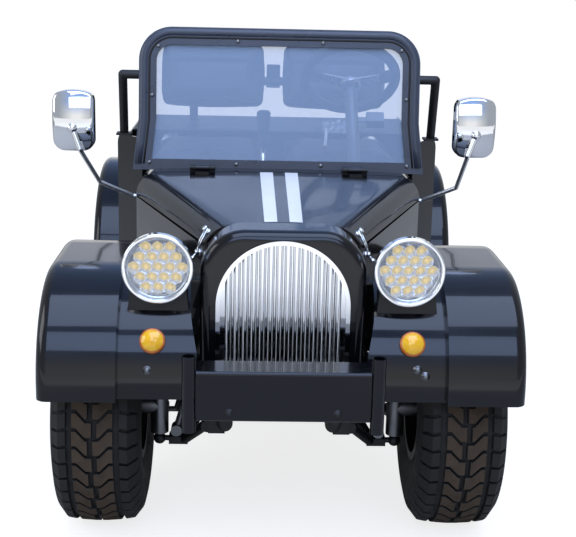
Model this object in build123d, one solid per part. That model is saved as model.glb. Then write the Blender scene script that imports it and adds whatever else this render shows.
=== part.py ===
from build123d import *

import os
from math import asin, atan2, cos, degrees, pi, radians, sin, sqrt, tan

# A small two-seat retro roadster kart: separate panels, lamps, seats and running gear on a tube frame.
#
# Millimetres, +Z up, the front faces -Y, the driver sits on the +X side.
# The origin is on the ground, midway between the front tubes of the bumper and the rear bumper.

# Overall lengths along Y
FRONT_OVERHANG = 380.0
WHEELBASE = 1330.0
REAR_OVERHANG = 330.0
LENGTH = FRONT_OVERHANG + WHEELBASE + REAR_OVERHANG
AXLE_F = -LENGTH / 2 + FRONT_OVERHANG
AXLE_R = AXLE_F + WHEELBASE

# Wheels: front and rear tyre sizes, rim and hub
FRONT_TYRE_R = 241.0
FRONT_TYRE_W = 177.0
FRONT_TRACK_HALF = 361.0
REAR_TYRE_R = 229.0
REAR_TYRE_W = 220.0
REAR_TRACK_HALF = 385.0
BEAD_R = 101.0
BEAD_GAP = 0.2
SHOULDER_R = 30.0
GROOVE_W = 9.0
GROOVE_DEPTH = 8.0
GROOVE_SHARE = 0.19
RIM_WALL = 5.0
RIM_LIP = 11.0
RIM_LIP_T = 4.0
DISC_T = 6.0
DISC_OUT = 22.0
HUB_R = 34.0
VENT_R = 11.0
VENT_PCR = 70.0
VENT_COUNT = 8

# Front steering and suspension
KINGPIN_X = 250.0
UPRIGHT_LOW = FRONT_TYRE_R - 61.0
UPRIGHT_HIGH = FRONT_TYRE_R + 77.0
SPINDLE_R = 12.0
SPINDLE_FIT = 0.05
STEER_ARM = 95.0
STEER_ARM_T = 8.0
ROD_END_R = 13.0
ARM_TUBE_R = 11.0
ARM_BALL_Z = FRONT_TYRE_R - 76.0
TIE_ROD_R = 7.0
PIVOT_GAP = 0.3

# Tube frame and floor
RAIL_X = 110.0
RAIL_R = 16.0
RAIL_Z = 238.0
FLOOR_Z = RAIL_Z + RAIL_R + PIVOT_GAP
FLOOR_T = 3.0

# Front wings (mudguards) and the aprons between them and the nose
WING_T = 4.0
WING_TOP = 2 * FRONT_TYRE_R + 90.0
WING_REACH = FRONT_TYRE_R + 49.0
WING_TAIL = FRONT_TYRE_R + 59.0
WING_NOSE_R = 0.83 * FRONT_TYRE_R
WING_TAIL_R = 0.95 * FRONT_TYRE_R
WING_FRONT_LOW = FRONT_TYRE_R + 112.0
WING_OUT = 458.0
WING_IN = 309.0
WING_EDGE = 22.0
WING_LIP_DROP = 20.0
APRON_IN_LOW = 142.0
APRON_IN_HIGH = 172.0
APRON_HIGH = 495.0
APRON_DROP = 20.0

# Front body: grille, its shell, the bonnet and the cowl
PANEL_T = 4.0
GRILLE_HALF = 127.0
GRILLE_LOW = 372.0
GRILLE_RIM = 8.0
GRILLE_RIBS = 14
RIB_SHARE = 0.42
NOSE_HALF = 158.0
NOSE_TOP = WING_TOP + 92.0
NOSE_BORDER = 16.0
GRILLE_TOP = NOSE_TOP - NOSE_BORDER
NOSE_LOW = 345.0
NOSE_SHOULDER = 86.0
NOSE_FRONT = AXLE_F - 214.0
NOSE_REAR = AXLE_F - 130.0
NOSE_ROUND = 22.0
BONNET_GAP = 5.0
BONNET_REAR = AXLE_F + 372.0
COWL_REAR = AXLE_F + 480.0
COWL_HALF = 332.0
COWL_TOP = WING_TOP + 104.0
COWL_LIP = WING_TOP + 46.0
COWL_SHOULDER = 54.0
FLOOR_HALF = COWL_HALF + 3.0
SILL_TOP = 312.0
SILL_LOW = 292.0
COWL_LOW = SILL_TOP + PIVOT_GAP
JAMB_Y = COWL_REAR + 105.0
JAMB_HALF = COWL_HALF + 70.0
JAMB_TOP = COWL_TOP + 58.0
JAMB_ROUND = 26.0

# Windscreen
SCREEN_HALF = COWL_HALF - 1.0
SCREEN_FLARE = 12.0
SCREEN_FLARE_H = 110.0
SCREEN_FOOT = 16.0
SCREEN_TOE = 10.0
SCREEN_HEIGHT = 324.0
SCREEN_CORNER = 78.0
SCREEN_BAND = 22.0
SCREEN_FLANGE = 19.0
SCREEN_BAND_T = 24.0
SCREEN_FLANGE_T = 6.0
SCREEN_RAKE = 9.0
GLASS_T = 4.0
GLASS_FIT = 0.5

# Rear wings
REAR_WING_OUT = 526.0
REAR_WING_IN = 262.0
REAR_WING_GAP = 87.0
REAR_WING_ANGLE = 12.0

# Lamps
LAMP_X = 235.5
LAMP_Z = WING_TOP + 20.0
LAMP_R = 67.0
LAMP_RIM = 8.0
LAMP_FACE = AXLE_F - WING_REACH + 65.0
LAMP_DEPTH = 88.0
STAND_LOW_HALF = 63.0
STAND_HIGH_HALF = 48.0
STAND_DEPTH = 46.0
MARKER_X = 243.0
MARKER_TILT = 29.0
MARKER_R = 24.0
MARKER_T = 9.0

# Bumper
BUMPER_LOW = 351.0
BUMPER_HIGH = 445.0
POST_X = 169.0
POST_R = 12.7
BUMPER_HALF = POST_X - POST_R - PIVOT_GAP
POST_LOW = 330.0
POST_HIGH = 472.0

# Mirrors
MIRROR_LEFT = 456.0
MIRROR_RIGHT = 430.0
MIRROR_Z = COWL_TOP + 128.0
MIRROR_Y = AXLE_F + 254.0
MIRROR_W = 90.0
MIRROR_H = 134.0
MIRROR_D = 46.0
MIRROR_CORNER = 25.0
MIRROR_DOME = 100.0
MIRROR_CROWN = 135.0
MIRROR_EDGE = 9.0
MIRROR_ROD_R = 5.0

# Cockpit
SEAT_HALF_GAP = 24.0
SEAT_OUT = 352.0
SEAT_FRONT = AXLE_R - 540.0
SEAT_REAR = AXLE_R - 160.0
CUSHION_TOP = 648.0
CUSHION_T = 110.0
BACK_LOW = 722.0
BACK_HIGH = 930.0
BACK_T = 90.0
BACK_RAKE = 12.0
WHEEL_X = 187.0
WHEEL_Y = SEAT_FRONT - 68.0
WHEEL_Z = 866.0
WHEEL_R = 130.0
WHEEL_TUBE = 13.0
COLUMN_TILT = 48.0
COLUMN_R = 16.0
SHAFT_R = 11.0

# Rear body
QUARTER_FRONT = AXLE_R - 425.0
QUARTER_OUT = 424.0
QUARTER_TOP = 662.0
QUARTER_ROUND = 80.0
TAIL_REAR = AXLE_R + 268.0
TAIL_LOW = 388.0
SILL_OUT = REAR_WING_OUT - 26.0

# Shape helpers


def between(a, b, r):
    """A round bar from point a to point b."""
    start, end = Vector(*a), Vector(*b)
    run = end - start
    return Solid.make_cylinder(r, run.length, Plane(origin=start, z_dir=run))


def bar_run(points, r):
    """Round bars along points, with a ball at each bend."""
    bars = [between(p, q, r) for p, q in zip(points, points[1:])]
    return Part() + bars + [Pos(*p) * Sphere(r) for p in points[1:-1]]


def block(x0, x1, y0, y1, z0, z1):
    """A box between two corners."""
    return Pos((x0 + x1) / 2, (y0 + y1) / 2, (z0 + z1) / 2) * Box(x1 - x0, y1 - y0, z1 - z0)


def slab_y(face, y0, y1):
    """An outline drawn in X and Z, solid from y0 back to y1."""
    return extrude(Plane.XZ.offset(-y1) * face, y1 - y0)


def slab_x(face, x0, x1):
    """An outline drawn in Y and Z, solid from x0 to x1."""
    return extrude(Plane.YZ.offset(x0) * face, x1 - x0)


def slab_z(face, z0, z1):
    """An outline drawn in X and Y, solid from z0 up to z1."""
    return extrude(Plane.XY.offset(z0) * face, z1 - z0)


def polygon(*points):
    return make_face(Polyline(*points, close=True))


def strip(x0, x1, r0, r1):
    """A rectangle in a turned profile: along the axle from x0 to x1, out from r0 to r1."""
    return Pos((x0 + x1) / 2, (r0 + r1) / 2) * Rectangle(x1 - x0, r1 - r0)


def flipped(shape):
    return mirror(shape, about=Plane.YZ)


def pair(shape):
    """The piece drawn on the +X side, with its twin on the -X side."""
    return Part() + [shape, flipped(shape)]


# Wheels, turned about X at the origin and then set on their axle


def tyre(radius, width):
    """Round shoulders, a crowned tread with two long grooves, and straight beads that the rim closes."""
    half = width / 2
    bead_half = half - 14
    bead = BEAD_R + BEAD_GAP
    wall = bead + RIM_LIP + 3
    tread_half = half - 24
    crown = radius - 5
    middle = (bead + radius) / 2
    edges = [
        Line((-bead_half, bead), (bead_half, bead)),
        ThreePointArc((tread_half, crown), (0, radius), (-tread_half, crown)),
    ]
    for s in (-1, 1):
        wall_end = (s * (half - 6), radius - SHOULDER_R)
        edges += [
            Line((s * bead_half, bead), (s * bead_half, wall)),
            ThreePointArc((s * bead_half, wall), (s * half, middle), wall_end),
            ThreePointArc(wall_end, (s * (half - 12), radius - 14), (s * tread_half, crown)),
        ]
    profile = make_face(edges)
    for side in (-1, 1):
        profile -= Pos(side * GROOVE_SHARE * width, radius) * Rectangle(GROOVE_W, 2 * GROOVE_DEPTH)
    return revolve(profile, Axis.X)


def rim(width, hub_bore, hub_in, hub_out):
    """Barrel, lips, dished disc with round vents, and a hub bored from its inner end. Outboard is +X."""
    half = width / 2 - 14 + BEAD_GAP
    inner = BEAD_R - RIM_WALL
    profile = strip(-half, half, inner, BEAD_R)
    for end in (-half - RIM_LIP_T, half):
        profile += strip(end, end + RIM_LIP_T, inner, BEAD_R + RIM_LIP)
    profile += strip(DISC_OUT - DISC_T, DISC_OUT, HUB_R - 1, inner + 1)
    profile += strip(hub_in, hub_out, 0, HUB_R)
    profile -= strip(hub_in, hub_out - DISC_T, 0, hub_bore)
    turned = revolve(profile, Axis.X)
    for k in range(VENT_COUNT):
        turn = radians(360 / VENT_COUNT * (k + 0.5))
        y, z = VENT_PCR * cos(turn), VENT_PCR * sin(turn)
        turned -= between((DISC_OUT - 2 * DISC_T, y, z), (DISC_OUT + DISC_T, y, z), VENT_R)
    return turned


HUB_IN = -48.0
HUB_OUT = 34.0
BRAKE_R = 80.0
BRAKE_T = 4.0
BRAKE_IN = HUB_IN + 3.0
at_front = Pos(FRONT_TRACK_HALF, AXLE_F, FRONT_TYRE_R)
at_rear = Pos(REAR_TRACK_HALF, AXLE_R, REAR_TYRE_R)

brake_disc = revolve(strip(BRAKE_IN, BRAKE_IN + BRAKE_T, HUB_R - 1, BRAKE_R), Axis.X)
front_tyre = at_front * tyre(FRONT_TYRE_R, FRONT_TYRE_W)
front_rim = at_front * (rim(FRONT_TYRE_W, SPINDLE_R + SPINDLE_FIT, HUB_IN, HUB_OUT) + brake_disc)
rear_tyre = at_rear * tyre(REAR_TYRE_R, REAR_TYRE_W)

# Rear live axle: both wheels, the sprocket and the brake disc turn with it
AXLE_BAR_R = 15.0
REAR_HUB_IN = -40.0
BEARING_X = 190.0
BEARING_R = 34.0
BEARING_HALF = 16.0
SPROCKET_R = 85.0
SPROCKET_T = 6.0
SPROCKET_X = 70.0
DISC_X = -70.0
rear_rim = at_rear * rim(REAR_TYRE_W, AXLE_BAR_R, REAR_HUB_IN, HUB_OUT)
axle_end = REAR_TRACK_HALF + HUB_OUT - DISC_T
rear_axle = revolve(
    strip(-axle_end, axle_end, 0, AXLE_BAR_R)
    + strip(SPROCKET_X, SPROCKET_X + SPROCKET_T, 0, SPROCKET_R)
    + strip(DISC_X - BRAKE_T, DISC_X, 0, BRAKE_R),
    Axis.X,
)
rear_axle = Pos(0, AXLE_R, REAR_TYRE_R) * rear_axle

# Steering knuckle, drawn on the +X side
STUD_R = 6.0
STUD_IN = 20.0
STEER_ARM_Z = FRONT_TYRE_R - 36.0
STEER_EYE_R = 14.0
UPRIGHT_R = 19.0
axle_z = FRONT_TYRE_R
hub_face = FRONT_TRACK_HALF + HUB_IN
spindle_end = FRONT_TRACK_HALF + HUB_OUT - 2 * DISC_T
disc_face = FRONT_TRACK_HALF + BRAKE_IN
steer_eye = (KINGPIN_X, AXLE_F + STEER_ARM, STEER_ARM_Z)
caliper = block(
    disc_face - 12, disc_face + BRAKE_T + 12, AXLE_F - 30, AXLE_F + 30, axle_z + 52, axle_z + 88
)
caliper -= block(
    disc_face - 5, disc_face + BRAKE_T + 5, AXLE_F - 40, AXLE_F + 40, axle_z + 45, axle_z + 82
)
carrier_plate = block(
    KINGPIN_X - 8, disc_face - 12, AXLE_F - 14, AXLE_F + 14, axle_z + 62, axle_z + 76
)
arm_bar = block(
    KINGPIN_X - STEER_EYE_R,
    KINGPIN_X + STEER_EYE_R,
    AXLE_F,
    AXLE_F + STEER_ARM,
    STEER_ARM_Z - STEER_ARM_T / 2,
    STEER_ARM_Z + STEER_ARM_T / 2,
)
eye_low = (steer_eye[0], steer_eye[1], STEER_ARM_Z - STEER_ARM_T / 2)
eye_high = (steer_eye[0], steer_eye[1], STEER_ARM_Z + STEER_ARM_T / 2)
knuckle = Part() + [
    between((KINGPIN_X, AXLE_F, UPRIGHT_LOW), (KINGPIN_X, AXLE_F, UPRIGHT_HIGH), UPRIGHT_R),
    between((KINGPIN_X, AXLE_F, axle_z), (hub_face - 2, AXLE_F, axle_z), UPRIGHT_R),
    between((KINGPIN_X, AXLE_F, axle_z), (spindle_end, AXLE_F, axle_z), SPINDLE_R),
    arm_bar,
    between(eye_low, eye_high, STEER_EYE_R),
    carrier_plate,
    caliper,
]
for end, deep in ((UPRIGHT_LOW, STUD_IN), (UPRIGHT_HIGH, -STUD_IN)):
    knuckle -= between(
        (KINGPIN_X, AXLE_F, end - deep), (KINGPIN_X, AXLE_F, end + deep), STUD_R + SPINDLE_FIT
    )

# Tie rod between the two steering arms, hung just under their eyes
TIE_EYE_H = 14.0
tie_top = STEER_ARM_Z - STEER_ARM_T / 2 - PIVOT_GAP
tie_z = tie_top - TIE_EYE_H / 2
tie_rod = Part() + [
    between((-KINGPIN_X, steer_eye[1], tie_z), (KINGPIN_X, steer_eye[1], tie_z), TIE_ROD_R - 1)
]
for side in (-1, 1):
    eye = (side * KINGPIN_X, steer_eye[1])
    tie_rod += between((*eye, tie_top - TIE_EYE_H), (*eye, tie_top), ROD_END_R)

# Front suspension arms: a lower and an upper one each side, with rod ends at the upright
UPPER_BALL_Z = UPRIGHT_HIGH + 15.0
BUSH_R = 12.0
BUSH_HALF = 18.0
LOWER_PIVOT = (146.0, 85.0, 232.0)
UPPER_PIVOT = (146.0, 55.0, 362.0)
ARM_PLATE = 40.0


def suspension_arm(ball_z, pivot, stud_to, tube_r, plate):
    """Two tubes from bushes on the frame to a plate, and a threaded rod end under or over the upright."""
    px, py, pz = pivot
    plate_x = KINGPIN_X - 20 - plate
    arm = Part() + [
        Pos(KINGPIN_X, AXLE_F, ball_z) * Sphere(ROD_END_R),
        between((KINGPIN_X, AXLE_F, ball_z), (KINGPIN_X, AXLE_F, stud_to), STUD_R),
        between((KINGPIN_X, AXLE_F, ball_z), (plate_x, AXLE_F, ball_z), STUD_R),
        block(plate_x, plate_x + plate, AXLE_F - 16, AXLE_F + 16, ball_z - 8, ball_z + 8),
    ]
    for side in (-1, 1):
        y = AXLE_F + side * py
        arm += between((px, y - BUSH_HALF, pz), (px, y + BUSH_HALF, pz), BUSH_R)
        arm += between((plate_x + 8, AXLE_F + side * 6, ball_z), (px, y, pz), tube_r)
    return arm


lower_arm = suspension_arm(ARM_BALL_Z, LOWER_PIVOT, UPRIGHT_LOW + STUD_IN - 2, ARM_TUBE_R, ARM_PLATE)
upper_stud = UPRIGHT_HIGH - STUD_IN + 2
upper_arm = suspension_arm(UPPER_BALL_Z, UPPER_PIVOT, upper_stud, ARM_TUBE_R - 2, ARM_PLATE * 0.6)

# Front body: nose, grille, bonnet, side panels, wings and aprons


def arch(half, low, top, radius):
    """A flat-bottomed outline with round upper corners, in X and Z."""
    flat = half - radius
    edges = [
        Line((-half, low), (half, low)),
        Line((half, low), (half, top - radius)),
        RadiusArc((half, top - radius), (flat, top), -radius),
        RadiusArc((-flat, top), (-half, top - radius), -radius),
        Line((-half, top - radius), (-half, low)),
    ]
    if flat > 0.01:
        edges.append(Line((flat, top), (-flat, top)))
    return make_face(edges)


NOSE_WALL = 24.0
NOSE_SEAT = 0.3
nose_outer = arch(NOSE_HALF, NOSE_LOW, NOSE_TOP, NOSE_SHOULDER)
nose_inner = arch(NOSE_HALF - PANEL_T, NOSE_LOW - 1, NOSE_TOP - PANEL_T, NOSE_SHOULDER - PANEL_T)
nose_shell = slab_y(nose_outer, NOSE_FRONT, NOSE_REAR)
front_edge = nose_shell.edges().group_by(Axis.Y)[0].filter_by(lambda e: e.center().Z > NOSE_LOW + 1)
nose_shell = fillet(front_edge, NOSE_ROUND - 2)
nose_shell -= slab_y(nose_inner, NOSE_FRONT + NOSE_WALL, NOSE_REAR + 1)
opening = arch(
    GRILLE_HALF + NOSE_SEAT, GRILLE_LOW - NOSE_SEAT, GRILLE_TOP + NOSE_SEAT, GRILLE_HALF + NOSE_SEAT
)
nose_shell -= slab_y(opening, NOSE_FRONT - 1, NOSE_FRONT + NOSE_WALL + 1)

# Grille: an arched rim with upright round ribs in front of a dark screen
GRILLE_PROUD = 5.0
rim_in = GRILLE_HALF - GRILLE_RIM
rib_pitch = 2 * rim_in / (GRILLE_RIBS + 1)
rib_r = rib_pitch * RIB_SHARE
grille_face = NOSE_FRONT - GRILLE_PROUD
grille_mid = grille_face + 9
arch_z = GRILLE_TOP - GRILLE_HALF
grille = slab_y(
    arch(GRILLE_HALF, GRILLE_LOW, GRILLE_TOP, GRILLE_HALF)
    - arch(rim_in, GRILLE_LOW + GRILLE_RIM, GRILLE_TOP - GRILLE_RIM, rim_in),
    grille_face,
    grille_face + 18,
)
for k in range(GRILLE_RIBS):
    x = (k + 1) * rib_pitch - rim_in
    rib_top = arch_z + sqrt((rim_in + 2) ** 2 - x * x)
    grille += between((x, grille_mid, GRILLE_LOW + GRILLE_RIM - 2), (x, grille_mid, rib_top), rib_r)
grille_screen = slab_y(
    arch(rim_in + 4, GRILLE_LOW + 5, GRILLE_TOP - 5, rim_in + 4),
    grille_face + 18 + NOSE_SEAT,
    grille_face + 20 + NOSE_SEAT,
)

# Bonnet: crown and round shoulders, narrow at the nose and wide at the cowl
BONNET_FRONT = NOSE_REAR + BONNET_GAP
CROWN_RISE = 4.0
NOSE_LIP = WING_TOP + 50.0
HOOD_SPREAD = 12.0


def hood_line(flat, edge, radius, lip, foot):
    """A closed section: crown, two round shoulders down to the lip, then straight to the foot."""
    low = asin(min(1.0, max(0.0, (lip - edge + radius) / radius)))
    mid = (low + pi / 2) / 2
    mid_x, mid_z = flat + radius * cos(mid), edge - radius + radius * sin(mid)
    lip_x = flat + radius * cos(low)
    edges = [ThreePointArc((flat, edge), (0, edge + CROWN_RISE), (-flat, edge))]
    for s in (-1, 1):
        edges.append(ThreePointArc((s * lip_x, lip), (s * mid_x, mid_z), (s * flat, edge)))
        if foot < lip:
            edges.append(Line((s * lip_x, lip), (s * lip_x, foot)))
    edges.append(Line((-lip_x, foot), (lip_x, foot)))
    return make_face(edges)


def front_line(inset, foot):
    flat = NOSE_HALF - NOSE_SHOULDER + HOOD_SPREAD
    return hood_line(flat, NOSE_TOP - CROWN_RISE - inset, NOSE_SHOULDER - inset, NOSE_LIP, foot)


def rear_line(inset, foot):
    flat = COWL_HALF - COWL_SHOULDER
    return hood_line(flat, COWL_TOP - CROWN_RISE - inset, COWL_SHOULDER - inset, COWL_LIP, foot)


def at_y(face, y):
    return Plane.XZ.offset(-y) * face


hood_front = at_y(front_line(0, NOSE_LIP), BONNET_FRONT)
hood_rear = at_y(rear_line(0, COWL_LIP), BONNET_REAR)
hood = loft([hood_front, hood_rear], ruled=True)
hood -= loft(
    [
        at_y(front_line(PANEL_T, NOSE_LIP - 30), BONNET_FRONT),
        at_y(rear_line(PANEL_T, COWL_LIP - 30), BONNET_REAR),
    ],
    ruled=True,
)

# Side panels under the bonnet lip, standing on the aprons over the front wheels
side_front = polygon(
    (NOSE_HALF - 3, NOSE_LIP - BONNET_GAP),
    (NOSE_HALF, NOSE_LIP - 50),
    (NOSE_HALF, NOSE_LOW),
    (NOSE_HALF - PANEL_T, NOSE_LOW),
    (NOSE_HALF - PANEL_T, NOSE_LIP - 50),
    (NOSE_HALF - 3 - PANEL_T, NOSE_LIP - BONNET_GAP),
)
side_rear = polygon(
    (COWL_HALF, COWL_LIP - BONNET_GAP),
    (COWL_HALF, COWL_LIP - 50),
    (COWL_HALF, COWL_LOW),
    (COWL_HALF - PANEL_T, COWL_LOW),
    (COWL_HALF - PANEL_T, COWL_LIP - 50),
    (COWL_HALF - PANEL_T, COWL_LIP - BONNET_GAP),
)
SIDE_FRONT = NOSE_REAR + PIVOT_GAP
SIDE_REAR = BONNET_REAR + BONNET_GAP - PIVOT_GAP
bonnet_side = loft([at_y(side_front, SIDE_FRONT), at_y(side_rear, SIDE_REAR)], ruled=True)


def wing_side(inset, low):
    """The side outline of a front wing in Y and Z: upright front and rear, level top, round corners."""
    front, rear = AXLE_F - WING_REACH + inset, AXLE_F + WING_TAIL - inset
    top = WING_TOP - inset
    front_r, rear_r = WING_NOSE_R - inset, WING_TAIL_R - inset
    edges = [
        Line((front, low), (front, top - front_r)),
        RadiusArc((front, top - front_r), (front + front_r, top), front_r),
        Line((front + front_r, top), (rear - rear_r, top)),
        RadiusArc((rear - rear_r, top), (rear, top - rear_r), rear_r),
        Line((rear, top - rear_r), (rear, low)),
        Line((rear, low), (front, low)),
    ]
    return make_face(edges)


def wing_block(inset, low, inner, outer, round_r):
    """A solid wing from inner to outer with its outer rim rounded off."""
    solid = slab_x(wing_side(inset, low), inner, outer)
    rim_edges = solid.edges().group_by(Axis.X)[-1].filter_by(lambda e: e.center().Z > low + 1)
    return fillet(rim_edges, round_r)


front_wing = wing_block(0, SILL_LOW, WING_IN, WING_OUT, WING_EDGE)
front_wing -= wing_block(WING_T, SILL_LOW - 1, WING_IN - 1, WING_OUT - WING_T, WING_EDGE - WING_T)
front_wing -= slab_x(wing_side(WING_EDGE + WING_LIP_DROP, SILL_LOW - 1), WING_IN, WING_OUT + 1)
under_front = block(0, WING_OUT + 1, AXLE_F - WING_REACH - 1, AXLE_F, 0, WING_FRONT_LOW)
front_wing -= under_front

# Aprons: set below the wing's crown, from the nose and the side panels out under the wing's inner edge
apron_low = WING_T + APRON_DROP
apron_sheet = wing_side(APRON_DROP, SILL_LOW) - wing_side(apron_low, SILL_LOW)
apron = slab_x(apron_sheet, APRON_IN_LOW, WING_IN + WING_T)
apron += slab_x(
    wing_side(WING_T + NOSE_SEAT, SILL_LOW) - wing_side(apron_low, SILL_LOW), WING_IN, WING_IN + WING_T
)
apron -= block(0, WING_OUT, AXLE_F - WING_REACH, AXLE_F + WING_TAIL, 0, WING_FRONT_LOW)
apron -= slab_y(
    polygon(
        (0, 0),
        (APRON_IN_LOW, WING_FRONT_LOW),
        (APRON_IN_HIGH, APRON_HIGH),
        (NOSE_HALF + 30, NOSE_TOP),
        (0, NOSE_TOP),
    ),
    AXLE_F - WING_REACH,
    SIDE_FRONT,
)
apron -= slab_z(
    polygon(
        (0, SIDE_FRONT - 1),
        (NOSE_HALF - PANEL_T, SIDE_FRONT - 1),
        (COWL_HALF - PANEL_T, SIDE_REAR),
        (0, SIDE_REAR),
    ),
    0,
    NOSE_TOP,
)
over_apron = slab_x(wing_side(APRON_DROP - NOSE_SEAT, SILL_LOW), 0, WING_OUT)
bonnet_side -= over_apron
bonnet_side -= block(0, COWL_HALF + 50, NOSE_FRONT, AXLE_F, 0, WING_TOP - WING_NOSE_R)


def around(profile, start, end, y, z):
    """A profile drawn along X and out from the axle, turned from start to end degrees above the rear."""
    return Pos(0, y, z) * Rot(start, 0, 0) * revolve(profile, Axis.X, end - start)


def wing_profile(inner, outer, radius):
    """Flat crown, round outer edge and a straight lip."""
    bend = outer - WING_EDGE
    edges = []
    for t, r in ((0, WING_EDGE), (WING_T, WING_EDGE - WING_T)):
        top = radius - t
        edges += [
            Line((inner, top), (bend, top)),
            RadiusArc((bend, top), (bend + r, top - r), r),
            Line((bend + r, top - r), (bend + r, radius - WING_EDGE - WING_LIP_DROP)),
        ]
    low = radius - WING_EDGE - WING_LIP_DROP
    edges += [Line((inner, radius), (inner, radius - WING_T)), Line((outer - WING_T, low), (outer, low))]
    return make_face(edges)


# Cowl: a hoop behind the bonnet with a firewall and a dash, standing on the running boards
SEAT = PIVOT_GAP
COWL_FRONT = BONNET_REAR + BONNET_GAP
FLOOR_TOP = FLOOR_Z + FLOOR_T
DASH_LOW = 560.0
cowl = slab_y(rear_line(0, COWL_LOW) - rear_line(PANEL_T, COWL_LOW - 1), COWL_FRONT, COWL_REAR)
cowl += slab_y(rear_line(PANEL_T / 2, FLOOR_TOP + SEAT), COWL_FRONT + 3, COWL_FRONT + 3 + PANEL_T)
cowl += slab_y(rear_line(PANEL_T / 2, DASH_LOW), COWL_REAR - 2 - PANEL_T, COWL_REAR - 2)

# Two bonnet hinges: a pin held on the cowl, in a barrel that is part of the bonnet
HINGE_X = 178.0
HINGE_PIN = 4.0
BARREL_R = 6.5
BARREL_HALF = 15.0
hinge_y = BONNET_REAR + BONNET_GAP / 2
hinge_z = COWL_TOP + 8.0
crown_flat = COWL_HALF - COWL_SHOULDER
hinge_low = COWL_TOP - CROWN_RISE * ((HINGE_X - 2 * BARREL_HALF) / crown_flat) ** 2 + SEAT


def hinge_pin(x0, x1, r):
    return between((x0, hinge_y, hinge_z), (x1, hinge_y, hinge_z), r)


x0, x1 = HINGE_X - BARREL_HALF, HINGE_X + BARREL_HALF
hinge_leaf = block(x0 - 14, x1 + 14, hinge_y + BARREL_R + 2, hinge_y + 36, hinge_low, hinge_low + 5)
hood_hinge = hinge_leaf + hinge_pin(x0 - 14, x1 + 14, HINGE_PIN)
for a, b in ((x0 - 14, x0 - 1), (x1 + 1, x1 + 14)):
    hood_hinge += hinge_pin(a, b, BARREL_R)
    hood_hinge += block(a, b, hinge_y, hinge_y + BARREL_R + 3, hinge_low, hinge_z)
barrel = hinge_pin(x0, x1, BARREL_R)
barrel += block(x0, x1, hinge_y - 34, hinge_y, COWL_TOP - CROWN_RISE - 1, COWL_TOP + 3)
barrel -= hinge_pin(x0 - 1, x1 + 1, HINGE_PIN + SPINDLE_FIT)
hood += [barrel, flipped(barrel)]

# Jambs: the cowl sides flare out and rise to a corner that carries the windscreen stay
JAMB_RUN = sqrt((JAMB_HALF - COWL_HALF) ** 2 + (JAMB_Y - COWL_REAR) ** 2)
jamb_turn = degrees(atan2(JAMB_Y - COWL_REAR, JAMB_HALF - COWL_HALF))
jamb = slab_y(
    polygon((0, COWL_LOW), (JAMB_RUN, COWL_LOW), (JAMB_RUN, JAMB_TOP), (0, JAMB_TOP)), SEAT, PANEL_T + SEAT
)
jamb = fillet(jamb.edges().filter_by(Axis.Y).sort_by(Axis.Z)[-2:].sort_by(Axis.X)[-1:], JAMB_ROUND)
jamb = Pos(COWL_HALF - PANEL_T, COWL_REAR) * Rot(0, 0, jamb_turn) * jamb
jamb -= block(0, JAMB_HALF, COWL_FRONT, COWL_REAR + SEAT, 0, 2 * JAMB_TOP)

# Windscreen: a raked band with a screwed inner flange, and its pane behind the flange
SCREEN_Y = COWL_REAR - 50.0
screen_z = COWL_TOP + SCREEN_BAND_T / 2 * sin(radians(SCREEN_RAKE)) + SEAT
rake = Pos(0, SCREEN_Y, screen_z) * Rot(-SCREEN_RAKE, 0, 0)


def screen_line(inset, foot):
    """The windscreen outline in X and Z: flared at the base, round upper corners, level at the foot."""
    half, top, radius = SCREEN_HALF - inset, SCREEN_HEIGHT - inset, SCREEN_CORNER - inset
    base = half + SCREEN_FLARE * (1 - foot / SCREEN_FLARE_H)
    edges = [Line((-base, foot), (base, foot)), Line((half - radius, top), (radius - half, top))]
    for s in (-1, 1):
        edges += [
            Line((s * base, foot), (s * half, SCREEN_FLARE_H)),
            Line((s * half, SCREEN_FLARE_H), (s * half, top - radius)),
            RadiusArc((s * half, top - radius), (s * (half - radius), top), -s * radius),
        ]
    return make_face(edges)


band_half = SCREEN_BAND_T / 2
screen_frame = slab_y(
    screen_line(0, -SCREEN_TOE) - screen_line(SCREEN_BAND, -SCREEN_TOE - 1), -band_half, band_half
)
screen_frame += slab_y(
    screen_line(SCREEN_BAND - 1, -SCREEN_TOE) - screen_line(SCREEN_BAND + SCREEN_FLANGE, SCREEN_FOOT),
    -band_half,
    -band_half + SCREEN_FLANGE_T,
)
screen_frame = rake * screen_frame
screen_frame -= slab_y(rear_line(-SEAT, COWL_LOW), COWL_FRONT, COWL_REAR + SCREEN_HEIGHT)
pane_front = -band_half + SCREEN_FLANGE_T + SEAT
windscreen = rake * slab_y(screen_line(SCREEN_BAND + GLASS_FIT, GLASS_FIT), pane_front, pane_front + GLASS_T)

# Side stays: from the top of the windscreen out, then down to a foot on the jamb
STAY_R = 10.5
STAY_TOP = COWL_TOP + 212.0
STAY_BEND = SCREEN_HALF + 39.0
STAY_FOOT = SCREEN_HALF + 46.0
FOOT_HALF = 18.0
FOOT_T = 5.0
stay_y = SCREEN_Y + (STAY_TOP - COWL_TOP) * tan(radians(SCREEN_RAKE))
foot_y = COWL_REAR + (STAY_FOOT - COWL_HALF) * tan(radians(jamb_turn))
foot_z = JAMB_TOP + SEAT
stay_root = (SCREEN_HALF + SEAT, stay_y, STAY_TOP)
stay_bend = (STAY_BEND, stay_y, STAY_TOP)
screen_stay = bar_run([stay_root, stay_bend, (STAY_FOOT, foot_y, foot_z)], STAY_R)
screen_stay -= block(0, JAMB_HALF, COWL_FRONT, JAMB_Y + FOOT_HALF, 0, foot_z)
screen_stay += Pos(STAY_FOOT, foot_y, foot_z + FOOT_T / 2) * Box(2 * FOOT_HALF, 2 * FOOT_HALF, FOOT_T)

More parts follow.
